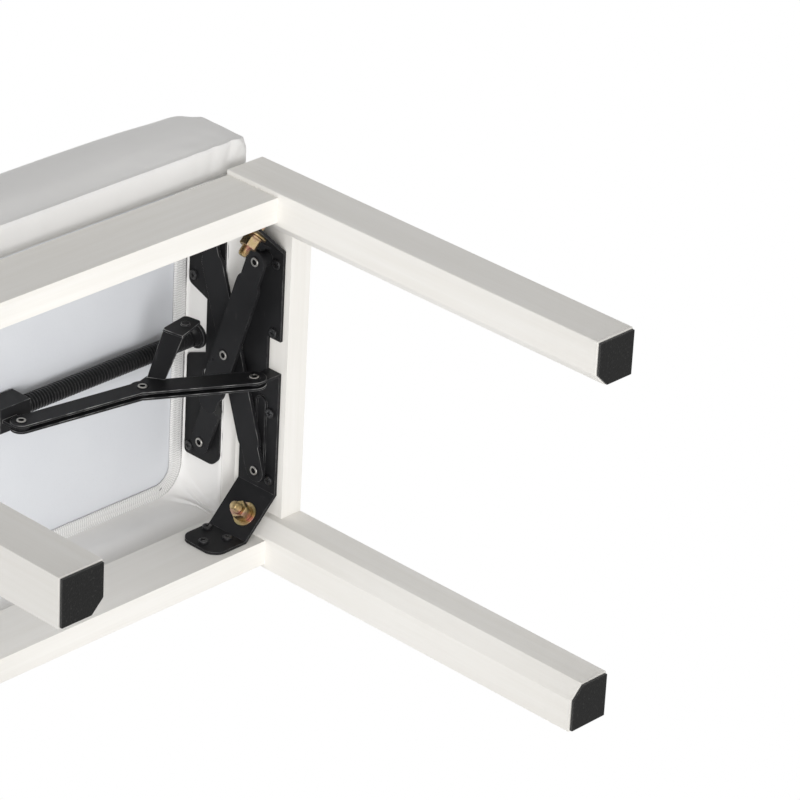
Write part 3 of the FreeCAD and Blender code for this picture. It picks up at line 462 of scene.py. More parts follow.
edgeWidths = {"wood": (0.0013, 3), "steel": (0.0004, 2), "knob": (0.0012, 3), "washer": (0.0003, 2),
              "nut": (0.0006, 2), "felt": (0.0005, 2)}
for node in frame["nodes"]:
    slot = slotOf[node]
    if slot == "frame_wood":
        easedPiece(node, [finish["wood"][longest(*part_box(node))]], *edgeWidths["wood"])
    elif slot == "felt":
        easedPiece(node, [finish["felt"]], *edgeWidths["felt"])
    elif slot == "knob_plastic":
        easedPiece(node, [finish["knob"]], *edgeWidths["knob"])
    elif slot == "black_steel" and node != "spindle":
        # black steel, with the painted edge highlight on its eased edges
        easedPiece(node, [finish["steel"], finish["steelEdge"]], *edgeWidths["steel"])
    elif node == "corner_washers":
        easedPiece(node, [finish["zinc"]], *edgeWidths["washer"])
    elif node == "corner_nuts":
        easedPiece(node, [finish["zinc"]], *edgeWidths["nut"])
    elif slot == "seat_wood":
        frame["nodes"][node].data.materials.clear()
        frame["nodes"][node].data.materials.append(finish["board"][longest(*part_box(node))])
    elif slot == "bush_plastic":
        easedPiece(node, [finish["bush"]], *edgeWidths["washer"])
    elif node.startswith(("scissor_bushes", "link_spacers")):
        easedPiece(node, [finish["steel"], finish["steelEdge"]], *edgeWidths["washer"])
print("solids eased")


# rivets: a rolled eyelet with a worn bright crest
eyelet = {"bore": 0.0023, "crest": 0.0031, "shoulder": 0.0038, "shank": 0.004, "depth": 0.0035, "rim": 0.0012,
          "skirt": 0.0004, "steps": 40}


def eyeletProfile(headRadius, grip):
    # radius and height, from the bottom of the bore over the crest to the far end of the shank
    bore, crest, shoulder, shank = [eyelet[key] for key in ("bore", "crest", "shoulder", "shank")]
    depth, rim, skirt = [eyelet[key] for key in ("depth", "rim", "skirt")]
    return [(0.0, -depth), (bore, -depth), (bore, 0.6 * rim), (0.9 * bore + 0.1 * crest, 0.85 * rim),
            (crest, rim), (0.3 * crest + 0.7 * shoulder, 0.85 * rim), (shoulder, 0.5 * rim),
            (headRadius - skirt, skirt * 1.2), (headRadius, 0.6 * skirt), (headRadius, 0.0),
            (shank, 0.0), (shank, -grip), (0.0, -grip)]


def spinProfile(bm, profile, steps, matrix):
    verts = [bm.verts.new((radius, 0.0, height)) for radius, height in profile]
    edges = [bm.edges.new(pair) for pair in zip(verts, verts[1:])]
    bmesh.ops.spin(bm, geom=verts + edges, cent=(0, 0, 0), axis=(0, 0, 1), angle=2 * math.pi, steps=steps,
                   use_merge=True, use_normal_flip=False, use_duplicate=False)
    loose = set(verts)
    reached = set(verts)
    while loose:
        vert = loose.pop()
        for edge in vert.link_edges:
            other = edge.other_vert(vert)
            if other not in reached:
                reached.add(other)
                loose.add(other)
    made = list(reached)
    bmesh.ops.remove_doubles(bm, verts=made, dist=merging["profile"])
    made = [vert for vert in made if vert.is_valid]
    bmesh.ops.transform(bm, matrix=matrix, verts=made)


def aimed(spot, direction):
    return Matrix.Translation(spot) @ direction.to_track_quat("Z", "Y").to_matrix().to_4x4()


def eyeletPiece(node, bothHeads):
    bm = bmesh.new()
    brightSpots = []
    for low, high in islandsOf(node):
        middle = (low + high) / 2
        spans = high - low
        axis = 1 if bothHeads else 0
        headRadius = max(spans[(axis + 1) % 3], spans[(axis + 2) % 3]) / 2
        length = spans[axis]
        inward = Vector((0, 0, 0))
        inward[axis] = -1.0 if middle.x > 0 else 1.0
        directions = [Vector((0, 1, 0)), Vector((0, -1, 0))] if bothHeads else [inward]
        heads = len(directions)
        for direction in directions:
            spot = middle + direction * (length / 2 - eyelet["rim"])
            grip = (length - heads * eyelet["rim"]) / heads
            spinProfile(bm, eyeletProfile(headRadius, grip), eyelet["steps"], aimed(spot, direction))
            brightSpots.append((spot, direction))
    bmesh.ops.recalc_face_normals(bm, faces=bm.faces)
    for face in bm.faces:
        centre = face.calc_center_median()
        for spot, direction in brightSpots:
            offset = centre - spot
            height = offset.dot(direction)
            radius = (offset - direction * height).length
            if 0.5 * eyelet["rim"] < height and eyelet["bore"] * 0.97 < radius < eyelet["shoulder"]:
                face.material_index = 1
    dressNode(node, bm, [finish["steel"], finish["bare"]], smoothAngle=50)


for end in ("right", "left"):
    eyeletPiece("front_arm_rivets_" + end, False)
    eyeletPiece("rear_arm_rivets_" + end, False)
    eyeletPiece("link_rivets_" + end, True)
print("rivets rolled")


# screws: the CAD head with its rim domed
screwDome = {"width": 0.0012, "segments": 4, "rim": 0.0036, "boxSlack": 0.0001, "topSlack": 0.00005}


def screwPiece(node):
    bm = cadCopy(node)
    boxes = islandsOf(node)
    slack = screwDome["boxSlack"]
    rims = []
    for edge in bm.edges:
        middle = (edge.verts[0].co + edge.verts[1].co) / 2
        for low, high in boxes:
            if not all(low[index] - slack <= middle[index] <= high[index] + slack for index in range(3)):
                continue
            axis = longest(low, high)
            centre = (low + high) / 2
            top = low[axis] if centre[axis] > 0 else high[axis]
            flat = [vert.co - centre for vert in edge.verts]
            for offset in flat:
                offset[axis] = 0
            atTop = all(abs(vert.co[axis] - top) < screwDome["topSlack"] for vert in edge.verts)
            if atTop and min(offset.length for offset in flat) > screwDome["rim"]:
                rims.append(edge)
            break
    roundEdges(bm, rims, screwDome["width"], screwDome["segments"])
    dressNode(node, bm, [finish["oiled"]], smoothAngle=35)


screwPiece("bracket_screws")
screwPiece("seat_plate_screws")
print("screws domed")


# threads: where along the pitch the profile stands at its root or at its crest
threadProfile = [(0.0, "root"), (0.22, "root"), (0.42, "crest"), (0.72, "crest"), (1.0, "root")]


def addThread(bm, rootRadius, crestRadius, pitch, start, turns, steps, matrix):
    # one pitch of the profile, swept up the Z axis; neighbouring turns share their edges
    radii = {"root": rootRadius, "crest": crestRadius}
    before = set(bm.verts)
    verts = [bm.verts.new((radii[level], 0.0, start + share * pitch)) for share, level in threadProfile]
    edges = [bm.edges.new(pair) for pair in zip(verts, verts[1:])]
    bmesh.ops.spin(bm, geom=verts + edges, cent=(0, 0, 0), axis=(0, 0, 1), dvec=(0, 0, pitch / steps),
                   angle=2 * math.pi * turns, steps=steps * turns, use_merge=False, use_normal_flip=False,
                   use_duplicate=False)
    made = [vert for vert in bm.verts if vert not in before]
    bmesh.ops.remove_doubles(bm, verts=made, dist=merging["thread"])
    made = [vert for vert in bm.verts if vert not in before]
    rims = [edge for edge in bm.edges if edge.is_boundary and edge.verts[0] not in before]
    bmesh.ops.holes_fill(bm, edges=rims, sides=0)
    bmesh.ops.transform(bm, matrix=matrix, verts=made)


spindle = {"pitch": 0.003, "root": 0.0057, "crestInset": 0.00002, "plainMiddle": 0.03, "plainEnd": 0.008,
           "steps": 28, "rodSteps": 48}


def spindlePiece():
    low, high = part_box("spindle")
    centre = (low + high) / 2
    crest = (high.z - low.z) / 2
    half = (high.x - low.x) / 2
    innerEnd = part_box("seat_end_rail_right")[0].x
    pitch = spindle["pitch"]
    threadStart = spindle["plainMiddle"] / 2
    turns = int((innerEnd - spindle["plainEnd"] - threadStart) / pitch)
    threadEnd = threadStart + turns * pitch
    bm = bmesh.new()
    along = aimed(centre, Vector((1, 0, 0)))
    addThread(bm, spindle["root"], crest - spindle["crestInset"], pitch, threadStart, turns, spindle["steps"],
              along)
    copied = bmesh.ops.duplicate(bm, geom=bm.verts[:] + bm.edges[:] + bm.faces[:])["geom"]
    other = [item for item in copied if isinstance(item, bmesh.types.BMVert)]
    bmesh.ops.scale(bm, vec=(-1, 1, 1), verts=other)
    plainHalf = threadStart + pitch / 2
    for lowX, highX in ((-half, -threadEnd), (-plainHalf, plainHalf), (threadEnd, half)):
        rod = bmesh.ops.create_cone(bm, cap_ends=True, segments=spindle["rodSteps"], radius1=crest,
                                    radius2=crest, depth=highX - lowX)
        middle = centre + Vector(((lowX + highX) / 2, 0, 0))
        bmesh.ops.transform(bm, matrix=aimed(middle, Vector((1, 0, 0))), verts=rod["verts"])
    bmesh.ops.recalc_face_normals(bm, faces=bm.faces)
    dressNode("spindle", bm, [finish["oiled"]], smoothAngle=50)


spindlePiece()

cornerBolt = {"radius": 0.004, "root": 0.0034, "pitch": 0.00125, "tip": 0.008, "steps": 24, "dome": 0.0008}


def cornerFrames():
    # each corner bolt's inner end, looking into the bench along the bolt
    frames = []
    for low, high in islandsOf("corner_bolts"):
        middle = (low + high) / 2
        direction = Vector((-math.copysign(1, middle.x), -math.copysign(1, middle.y), 0)).normalized()
        run = (high.x - low.x - 2 * cornerBolt["radius"] * math.sqrt(0.5)) * math.sqrt(2)
        frames.append((middle + direction * run / 2, direction, run))
    return frames


def boltPiece():
    root, radius, pitch, dome = [cornerBolt[key] for key in ("root", "radius", "pitch", "dome")]
    turns = int((cornerBolt["tip"] - dome) / pitch) + 1
    threadFoot = -dome - (turns + 1) * pitch
    neck = -1.5 * cornerBolt["tip"]
    bm = bmesh.new()
    for tip, direction, run in cornerFrames():
        matrix = aimed(tip, direction)
        addThread(bm, root, radius, pitch, threadFoot, turns, cornerBolt["steps"], matrix)
        core = [(0, 0), (root * 0.75, -0.1 * dome), (root, -dome), (root, neck),
                (radius, neck), (radius, -run), (0, -run)]
        spinProfile(bm, core, cornerBolt["steps"], matrix)
    bmesh.ops.recalc_face_normals(bm, faces=bm.faces)
    dressNode("corner_bolts", bm, [finish["zinc"]], smoothAngle=50)


springWasher = {"inner": 0.0042, "outer": 0.007, "tall": 0.0022, "rise": 0.0006, "gapDegrees": 18,
                "steps": 36}


def springWasherPiece():
    # a flat wire that rises a little in its turn and leaves a gap
    inner, outer, rise, steps = [springWasher[key] for key in ("inner", "outer", "rise", "steps")]
    thick = springWasher["tall"] - rise
    turn = math.radians(360 - springWasher["gapDegrees"])
    centred = Matrix.Translation((0, 0, -springWasher["tall"] / 2))
    washers = islandsOf("corner_spring_washers")
    bm = bmesh.new()
    for tip, direction, run in cornerFrames():
        low, high = min(washers, key=lambda box: ((box[0] + box[1]) / 2 - tip).length)
        before = set(bm.verts)
        section = ((inner, 0, 0), (outer, 0, 0), (outer, 0, thick), (inner, 0, thick))
        face = bm.faces.new([bm.verts.new(spot) for spot in section])
        bmesh.ops.spin(bm, geom=[face], cent=(0, 0, 0), axis=(0, 0, 1), dvec=(0, 0, rise / steps), angle=turn,
                       steps=steps, use_merge=False, use_normal_flip=False, use_duplicate=False)
        made = [vert for vert in bm.verts if vert not in before]
        bmesh.ops.transform(bm, matrix=aimed((low + high) / 2, direction) @ centred, verts=made)
    bmesh.ops.recalc_face_normals(bm, faces=bm.faces)
    dressNode("corner_spring_washers", bm, [finish["zinc"]], smoothAngle=30)


boltPiece()
springWasherPiece()
print("threads cut")


# seat upholstery
seatLow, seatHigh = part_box("seat_cover")
seatHalf = (seatHigh - seatLow) / 2
railInner = Vector((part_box("seat_end_rail_right")[0].x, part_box("seat_side_rail_back")[0].y, 0))
railOuter = Vector((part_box("seat_end_rail_right")[1].x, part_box("seat_side_rail_back")[1].y, 0))
spindleHeight = sum(corner.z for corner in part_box("spindle")) / 2
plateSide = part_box("seat_plate_right")[1].y
pad = {"voxel": 0.006, "swell": 0.0012, "corner": 0.0115, "cornerSteps": 5, "topEdge": 0.0095, "topSteps": 4,
       "bottomEdge": 0.003, "crown": 0.0055, "rim": 0.0105, "bulge": 0.0035, "proud": 0.004, "skin": 0.0007,
       "pressure": 4.0, "slack": -0.004, "frames": 20, "pinHeight": 0.006,  # the cloth
       "capTop": 0.004, "capSide": 0.0014, "capDepth": 0.04, "capEase": 0.02,  # how far it may puff
       "rimPower": 7, "crownPowers": (6, 4), "shoulder": 0.4, "cornerTame": 0.4, "cornerReach": 0.05,
       "pleat": 0.0016, "pleatWidth": 0.0022, "pleatSway": 0.004, "pleatTo": 0.62, "ripple": 0.0003,
       "rippleGrain": (16, 16, 6), "wrinkle": 0.0018, "wrinkleRun": 330, "wrinkleFade": 2.2,
       "sideWrinkle": 0.2, "smoothFrom": 0.05, "smoothTurns": 3,
       "overRail": 0.0011, "railReach": 0.006, "railFrom": 0.0025, "railTo": 0.055,
       "bushRadius": 0.015, "bushEase": 0.02, "bushGap": 0.0002, "mouthGap": 0.001, "mouthHeight": 0.002}


def eased(value):
    share = min(max(value, 0.0), 1.0)
    return share * share * (3 - 2 * share)


def bell(value, width):
    return math.exp(-((value / width) ** 2))


def seatBlock():
    bm = bmesh.new()
    bmesh.ops.create_cube(bm, size=1.0)
    tall = 2 * seatHalf.z + pad["proud"] - pad["crown"] - pad["rim"]
    size = Vector((2 * (seatHalf.x + pad["swell"]), 2 * (seatHalf.y + pad["swell"]), tall))
    bmesh.ops.scale(bm, vec=size, verts=bm.verts)
    bmesh.ops.translate(bm, vec=(0, 0, seatLow.z + tall / 2), verts=bm.verts)
    roundEdges(bm, uprights(bm, tall), pad["corner"], pad["cornerSteps"])
    top = [edge for edge in bm.edges if min(vert.co.z for vert in edge.verts) > seatLow.z + tall - 0.0001]
    roundEdges(bm, top, pad["topEdge"], pad["topSteps"])
    return bm


def evaluated(block):
    done = bpy.data.meshes.new_from_object(block.evaluated_get(bpy.context.evaluated_depsgraph_get()))
    block.modifiers.clear()
    block.data = done


def remeshed(bm):
    mesh = bpy.data.meshes.new("padBlock")
    bm.to_mesh(mesh)
    bm.free()
    block = bpy.data.objects.new("padBlock", mesh)
    scene.collection.objects.link(block)
    remesh = block.modifiers.new("voxels", "REMESH")
    remesh.mode = "VOXEL"
    remesh.voxel_size = pad["voxel"]
    evaluated(block)
    return block


def puffUp(block):
    # the cover is blown up over its foam for a few frames, with its underside held
    rest = [vert.co.copy() for vert in block.data.vertices]
    held = block.vertex_groups.new(name="held")
    low = [vert.index for vert in block.data.vertices if vert.co.z < seatLow.z + pad["pinHeight"]]
    held.add(low, 1.0, "REPLACE")
    cloth = block.modifiers.new("cloth", "CLOTH")
    cloth.settings.use_pressure = True
    cloth.settings.uniform_pressure_force = pad["pressure"]
    cloth.settings.vertex_group_mass = "held"
    cloth.settings.shrink_min = pad["slack"]
    cloth.settings.effector_weights.gravity = 0.0
    cloth.point_cache.frame_start = 1
    cloth.point_cache.frame_end = pad["frames"]
    for step in range(1, pad["frames"] + 1):
        scene.frame_set(step)
    evaluated(block)
    scene.frame_set(1)
    block.vertex_groups.clear()
    for vert, before in zip(block.data.vertices, rest):
        move = vert.co - before
        upper = eased((before.z - seatHigh.z + pad["capDepth"]) / pad["capEase"])
        cap = pad["capSide"] + (pad["capTop"] - pad["capSide"]) * upper
        if move.length > cap:
            vert.co = before + move.normalized() * cap


def wayOut(spot):
    # how far a point lies outside the seat's rounded outline, and the shortest way out
    inX = abs(spot.x) - (seatHalf.x + pad["swell"] - pad["corner"])
    inY = abs(spot.y) - (seatHalf.y + pad["swell"] - pad["corner"])
    if inX > 0 and inY > 0:
        length = math.hypot(inX, inY)
        out = Vector((math.copysign(inX, spot.x), math.copysign(inY, spot.y), 0)) / length
        return length - pad["corner"], out
    if inX > inY:
        return inX - pad["corner"], Vector((math.copysign(1, spot.x), 0, 0))
    return inY - pad["corner"], Vector((0, math.copysign(1, spot.y), 0))


def tightEdge(vert):
    # the remesh blunts the lower edge, so it is drawn tight round the rails again
    radius = pad["bottomEdge"]
    outside, out = wayOut(vert.co)
    across = outside + radius
    rise = vert.co.z - seatLow.z - radius
    if rise > 4 * radius or across < -4 * radius:
        return
    if across > 0 and rise < 0:
        scale = radius / max(math.hypot(across, rise), 0.0001)
        vert.co += out * across * (scale - 1)
        vert.co.z += rise * (scale - 1)
    elif rise < 0:
        vert.co.z = seatLow.z


def shapeSeat(vert, normal):
    # crown and rim on top, pleats round the corners, drawn wrinkles on the underside
    acrossX, acrossY = [min(abs(vert.co[index]) / seatHalf[index], 1.0) for index in (0, 1)]
    cornerX, cornerY = [max(seatHalf[index] - abs(vert.co[index]), 0.0) for index in (0, 1)]
    height = (vert.co.z - seatLow.z) / (2 * seatHalf.z)
    powerX, powerY = pad["crownPowers"]
    rim = pad["rim"] * (1 - (acrossX * acrossY) ** pad["rimPower"])
    crown = pad["crown"] * (1 - acrossX ** powerX) * (1 - acrossY ** powerY)
    nearCorner = bell(cornerX, pad["cornerReach"]) * bell(cornerY, pad["cornerReach"])
    flat = Vector((normal.x, normal.y, 0))
    bulge = pad["bulge"] * eased(height / pad["shoulder"]) * (1 - pad["cornerTame"] * nearCorner)
    sway = pad["pleatSway"] * math.sin(3 * height)
    pleat = pad["pleat"] * bell(cornerX - cornerY - sway, pad["pleatWidth"]) * nearCorner
    pleat *= eased((pad["pleatTo"] - height) * 4)
    ripple = noise.noise(vert.co * Vector(pad["rippleGrain"])) * pad["ripple"]
    low = eased(1 - height * pad["wrinkleFade"])
    along = vert.co.x if cornerY < cornerX else vert.co.y
    drawn = math.sin(along * pad["wrinkleRun"] + 4 * noise.noise(vert.co * 30)) * (0.1 + 0.9 * nearCorner)
    vert.co += flat * (bulge + ripple - pleat + drawn * low * pad["wrinkle"] * pad["sideWrinkle"])
    vert.co.z += (rim + crown) * eased(height / pad["shoulder"] - 1)
    vert.co.z += max(-normal.z, 0.0) * low * pad["wrinkle"] * max(drawn, 0.0) * nearCorner


def keepOver(vert):
    # outside the rails and panel, pressed flat under the bush flanges, and not too proud
    beside = pad["railFrom"] < vert.co.z - seatLow.z < pad["railTo"]
    for index in (0, 1):
        if beside and abs(vert.co[index]) > railOuter[index] - pad["railReach"]:
            reach = max(abs(vert.co[index]), railOuter[index] + pad["overRail"])
            vert.co[index] = math.copysign(reach, vert.co[index])
        limit = seatHalf[index] + pad["proud"]
        vert.co[index] = min(max(vert.co[index], -limit), limit)
    fromBush = math.hypot(vert.co.y, vert.co.z - spindleHeight)
    free = eased((fromBush - pad["bushRadius"]) / pad["bushEase"])
    limit = seatHalf.x + pad["proud"] * free - pad["bushGap"]
    vert.co.x = min(max(vert.co.x, -limit), limit)
    vert.co.z = max(vert.co.z, seatLow.z)


def openMouth(bm):
    # the cover is open underneath, inside the rails
    ceiling = seatLow.z + pad["mouthHeight"]
    halfX, halfY = railInner.x - pad["mouthGap"], railInner.y - pad["mouthGap"]
    for cut in ((halfX, 0, 0), (-halfX, 0, 0), (0, halfY, 0), (0, -halfY, 0)):
        bottom = [face for face in bm.faces if face.calc_center_median().z < ceiling]
        rims = {edge for face in bottom for edge in face.edges}
        spots = {vert for face in bottom for vert in face.verts}
        bmesh.ops.bisect_plane(bm, geom=bottom + list(rims) + list(spots), dist=0.00001, plane_co=cut,
                               plane_no=Vector(cut).normalized())
    mouth = []
    for face in bm.faces:
        middle = face.calc_center_median()
        if abs(middle.x) < halfX and abs(middle.y) < halfY and middle.z < ceiling:
            mouth.append(face)
    bmesh.ops.delete(bm, geom=mouth, context="FACES")


def addSkin(piece, thickness, offset=-1.0):
    skin = piece.modifiers.new("skin", "SOLIDIFY")
    skin.thickness = thickness
    skin.offset = offset


def seatCover():
    block = remeshed(seatBlock())
    puffUp(block)
    finer = block.modifiers.new("finer", "SUBSURF")
    finer.levels = 1
    finer.render_levels = 1
    evaluated(block)
    bm = bmesh.new()
    bm.from_mesh(block.data)
    bpy.data.objects.remove(block)
    for vert in bm.verts:
        tightEdge(vert)
    bm.normal_update()
    normals = [vert.normal.copy() for vert in bm.verts]
    for vert, normal in zip(bm.verts, normals):
        shapeSeat(vert, normal)
        keepOver(vert)
    soft = [vert for vert in bm.verts if vert.co.z > seatLow.z + pad["smoothFrom"]]
    for turn in range(pad["smoothTurns"]):
        bmesh.ops.smooth_vert(bm, verts=soft, factor=0.5, use_axis_x=True, use_axis_y=True, use_axis_z=True)
    openMouth(bm)
    bmesh.ops.recalc_face_normals(bm, faces=bm.faces)
    piece = addPiece("seatCover", bm, "seat", [finish["leather"]], smoothAngle=60)
    addSkin(piece, pad["skin"])
    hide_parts("seat_cover", "seat_foam")


seatCover()
print("seat cover puffed")

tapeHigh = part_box("seat_tape")[1]
liningLow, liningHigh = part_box("seat_lining")
wrap = {"thick": 0.0008, "away": 0.0012, "lap": 0.0003, "rows": 14, "cornerSteps": 14, "sideCuts": 60,
        "hemEase": 1.6, "lowCorner": 0.007, "highCorner": 0.034, "cornerEase": 1.5,
        "belly": 0.8, "bellyTo": 0.42, "tuck": 0.002, "roll": 0.0145,
        "plateGap": 0.002, "plateEase": 0.012, "plateRoll": 0.012,  # tighter beside the seat plate
        "fold": 0.004, "foldOut": 0.0008, "foldWidth": 0.13, "foldTurns": ((1, 0.42), (-1, 0.7), (1, 1.05)),
        "waves": 0.001, "waveGrain": (40, 40, 25), "seam": 0.00001}


def wrapMove(vert, half, rise):
    # from the hem at the rail's lower edge up to the tape, rolling inwards at the top
    share = 1 - (1 - (vert.co.z - seatLow.z) / rise) ** wrap["hemEase"]
    height = share * rise
    corner = wrap["highCorner"]
    radius = wrap["lowCorner"] + (corner - wrap["lowCorner"]) * share ** wrap["cornerEase"]
    inX, inY = abs(vert.co.x) - (half.x - corner), abs(vert.co.y) - (half.y - corner)
    atEnd, atSide = inX > -wrap["seam"], inY > -wrap["seam"]
    turn = math.atan2(max(inY, 0.0), max(inX, 0.0)) if max(inX, inY) > 0 else 0.0
    newX, newY = abs(vert.co.x), abs(vert.co.y)
    if atEnd and atSide:
        newX = half.x - radius + radius * math.cos(turn)
        newY = half.y - radius + radius * math.sin(turn)
    byPlate = 1 - eased((newY - plateSide - wrap["plateGap"]) / wrap["plateEase"])
    rollTall = wrap["roll"] - wrap["plateRoll"] * byPlate * math.cos(turn)
    rolled = max((height - rise + rollTall) / rollTall, 0.0)
    curl = 1 - math.sqrt(max(1 - rolled * rolled, 0.0))
    belly = math.sin(math.pi / 2 * min(share / wrap["bellyTo"], 1.0)) * wrap["belly"]
    endPull = curl * (half.x - tapeHigh.x + wrap["tuck"])
    sidePull = (curl * (1 - wrap["belly"]) + belly) * (half.y - tapeHigh.y + wrap["tuck"])
    pull = endPull * math.cos(turn) ** 2 + sidePull * math.sin(turn) ** 2
    folds = sum(sign * bell(turn - middle, wrap["foldWidth"]) for sign, middle in wrap["foldTurns"])
    atCorner = 1.0 if inX > 0 and inY > 0 else 0.0
    loose = (1 - byPlate * math.cos(turn)) * math.sin(math.pi * min(share * 1.1, 1.0))
    wave = noise.noise(vert.co * Vector(wrap["waveGrain"])) * wrap["waves"]
    pull += (max(folds * wrap["fold"] * atCorner, -wrap["foldOut"]) + wave) * loose
    vert.co.x = math.copysign(newX - pull * math.cos(turn) * atEnd, vert.co.x)
    vert.co.y = math.copysign(newY - pull * math.sin(turn) * atSide, vert.co.y)
    vert.co.z = seatLow.z + height


def insideWrap():
    # the cover's edge goes on over the rails' inner faces, up to the tape
    half = Vector((railInner.x - wrap["away"], railInner.y - wrap["away"]))
    rise = liningLow.z - seatLow.z + wrap["lap"]
    bm = bmesh.new()
    bmesh.ops.create_cube(bm, size=1.0)
    bmesh.ops.scale(bm, vec=(2 * half.x, 2 * half.y, rise), verts=bm.verts)
    bmesh.ops.translate(bm, vec=(0, 0, seatLow.z + rise / 2), verts=bm.verts)
    caps = [face for face in bm.faces if abs(face.normal.z) > 0.9]
    bmesh.ops.delete(bm, geom=caps, context="FACES_ONLY")
    roundEdges(bm, uprights(bm, rise), wrap["highCorner"], wrap["cornerSteps"])
    bmesh.ops.subdivide_edges(bm, edges=uprights(bm, rise), cuts=wrap["rows"], use_grid_fill=True)
    bmesh.ops.subdivide_edges(bm, edges=longEdges(bm), cuts=wrap["sideCuts"], use_grid_fill=True)
    for vert in bm.verts:
        wrapMove(vert, half, rise)
    bmesh.ops.recalc_face_normals(bm, faces=bm.faces)
    bmesh.ops.reverse_faces(bm, faces=bm.faces)
    area = sum(face.calc_area() for face in bm.faces)
    piece = addPiece("seatInsideWrap", bm, "seat", [finish["leather"]], smoothAngle=80)
    addSkin(piece, wrap["thick"])
    around = 4 * (half.x + half.y)
    area / around


insideWrap()

lining = {"cuts": 60, "sag": 0.0012, "thick": 0.0004, "lift": 0.0006, "heldEdge": 0.012, "sagEase": 0.03}


def liningPiece():
    bm = bmesh.new()
    bmesh.ops.create_grid(bm, x_segments=lining["cuts"], y_segments=lining["cuts"] * 2 // 3, size=0.5)
    span = liningHigh - liningLow
    bmesh.ops.scale(bm, vec=(span.x, span.y, 1), verts=bm.verts)
    for vert in bm.verts:
        edge = min(span.x / 2 - abs(vert.co.x), span.y / 2 - abs(vert.co.y))
        free = eased((edge - lining["heldEdge"]) / lining["sagEase"])
        wave = noise.noise(Vector((vert.co.x * 7, vert.co.y * 11, 0.3))) + 0.5 * noise.noise(vert.co * 26)
        vert.co.z = liningLow.z + lining["lift"] - free * lining["sag"] * (0.5 + 0.5 * wave)
    bmesh.ops.reverse_faces(bm, faces=bm.faces)
    piece = addPiece("seatLining", bm, "seat", [finish["lining"]], smoothAngle=80)
    addSkin(piece, lining["thick"])
    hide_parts("seat_lining")


tape = {"corner": 0.028, "width": 0.013, "thick": 0.0012, "segments": 12, "cuts": 100, "ribCuts": 4,
        "gap": 0.0001, "swell": 0.0005, "pucker": 0.0004, "puckerRun": 900, "waves": 0.0003,
        "waveGrain": 60}


def tapePlace(spot, half):
    # how far along the tape's outer edge a point lies, and how far in from it
    radius = tape["corner"]
    straightX, straightY = half.x - radius, half.y - radius
    across, down = abs(spot.x), abs(spot.y)
    arc = radius * math.pi / 2
    if across > straightX and down > straightY:
        return (straightY + radius * math.atan2(down - straightY, across - straightX),
                radius - math.hypot(across - straightX, down - straightY))
    if half.x - across < half.y - down:
        return down, half.x - across
    return straightY + arc + straightX - across, half.y - down


def tapePiece():
    half = Vector((tapeHigh.x, tapeHigh.y))
    bm = bmesh.new()
    bmesh.ops.create_grid(bm, x_segments=1, y_segments=1, size=0.5)
    bmesh.ops.scale(bm, vec=(2 * half.x, 2 * half.y, 1), verts=bm.verts)
    bmesh.ops.bevel(bm, geom=bm.verts[:], offset=tape["corner"], offset_type="OFFSET", affect="VERTICES",
                    segments=tape["segments"], profile=0.5, material=-1)
    bmesh.ops.inset_region(bm, faces=bm.faces[:], thickness=tape["width"], use_even_offset=True,
                           use_boundary=True)
    bmesh.ops.delete(bm, geom=[face for face in bm.faces if len(face.verts) > 4], context="FACES")
    bmesh.ops.subdivide_edges(bm, edges=longEdges(bm), cuts=tape["cuts"], use_grid_fill=True)
    ribs = [edge for edge in bm.edges if not edge.is_boundary]
    bmesh.ops.subdivide_edges(bm, edges=ribs, cuts=tape["ribCuts"], use_grid_fill=True)
    area = sum(face.calc_area() for face in bm.faces)
    places = bm.loops.layers.uv.new("along")
    for face in bm.faces:
        for loop in face.loops:
            loop[places].uv = tapePlace(loop.vert.co, half)
    for vert in bm.verts:
        run, depth = tapePlace(vert.co, half)
        share = min(max(depth / tape["width"], 0.0), 1.0)
        inX, inY = abs(vert.co.x) - half.x + tape["corner"], abs(vert.co.y) - half.y + tape["corner"]
        pucker = math.sin(run * tape["puckerRun"]) * tape["pucker"] if inX > 0 and inY > 0 else 0.0
        swell = tape["swell"] * math.sin(math.pi * share)
        wave = noise.noise(vert.co * tape["waveGrain"]) * tape["waves"]
        vert.co.z = liningLow.z - tape["gap"] - swell - wave - pucker * share
    bmesh.ops.recalc_face_normals(bm, faces=bm.faces)
    if sum(face.normal.z for face in bm.faces) > 0:
        bmesh.ops.reverse_faces(bm, faces=bm.faces)
    piece = addPiece("seatTape", bm, "seat", [finish["tape"]], smoothAngle=80)
    addSkin(piece, tape["thick"], 1.0)
    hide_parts("seat_tape")
    area / tape["width"]


liningPiece()
tapePiece()

staples = {"length": 0.009, "wire": 0.0007, "round": 0.3, "sink": 0.0004, "across": 0.6,
           "turns": (12, 45, 78), "slant": 70}


def stapleAndFoldShadePiece():
    # three staples hold the tape where it turns each corner; they are made in the black steel so that they
    # also stand in as painted shade for the folds of the tape there
    half = Vector((tapeHigh.x - tape["corner"], tapeHigh.y - tape["corner"]))
    reach = tape["corner"] - tape["width"] * staples["across"]
    height = liningLow.z - tape["thick"] - tape["swell"] + staples["sink"]
    bm = bmesh.new()
    for sideX in (-1, 1):
        for sideY in (-1, 1):
            for turn in staples["turns"]:
                wire = bmesh.ops.create_cube(bm, size=1.0)["verts"]
                bmesh.ops.scale(bm, vec=(staples["length"], staples["wire"], staples["wire"]), verts=wire)
                bends = list({edge for vert in wire for edge in vert.link_edges})
                rounded = roundEdges(bm, bends, staples["wire"] * staples["round"], 2)
                verts = list({vert for face in rounded for vert in face.verts})
                angle = math.radians(turn)
                spot = Vector((sideX * (half.x + reach * math.cos(angle)),
                               sideY * (half.y + reach * math.sin(angle)), height))
                lie = Matrix.Rotation(sideX * sideY * (angle + math.radians(staples["slant"])), 4, "Z")
                bmesh.ops.transform(bm, matrix=Matrix.Translation(spot) @ lie, verts=verts)
    # dark staples: partly real staples, partly a painted shade of the tape's corner folds
    addPiece("tapeStaples", bm, "seat", [finish["steel"]])


stapleAndFoldShadePiece()
print("lining, tape and staples laid")


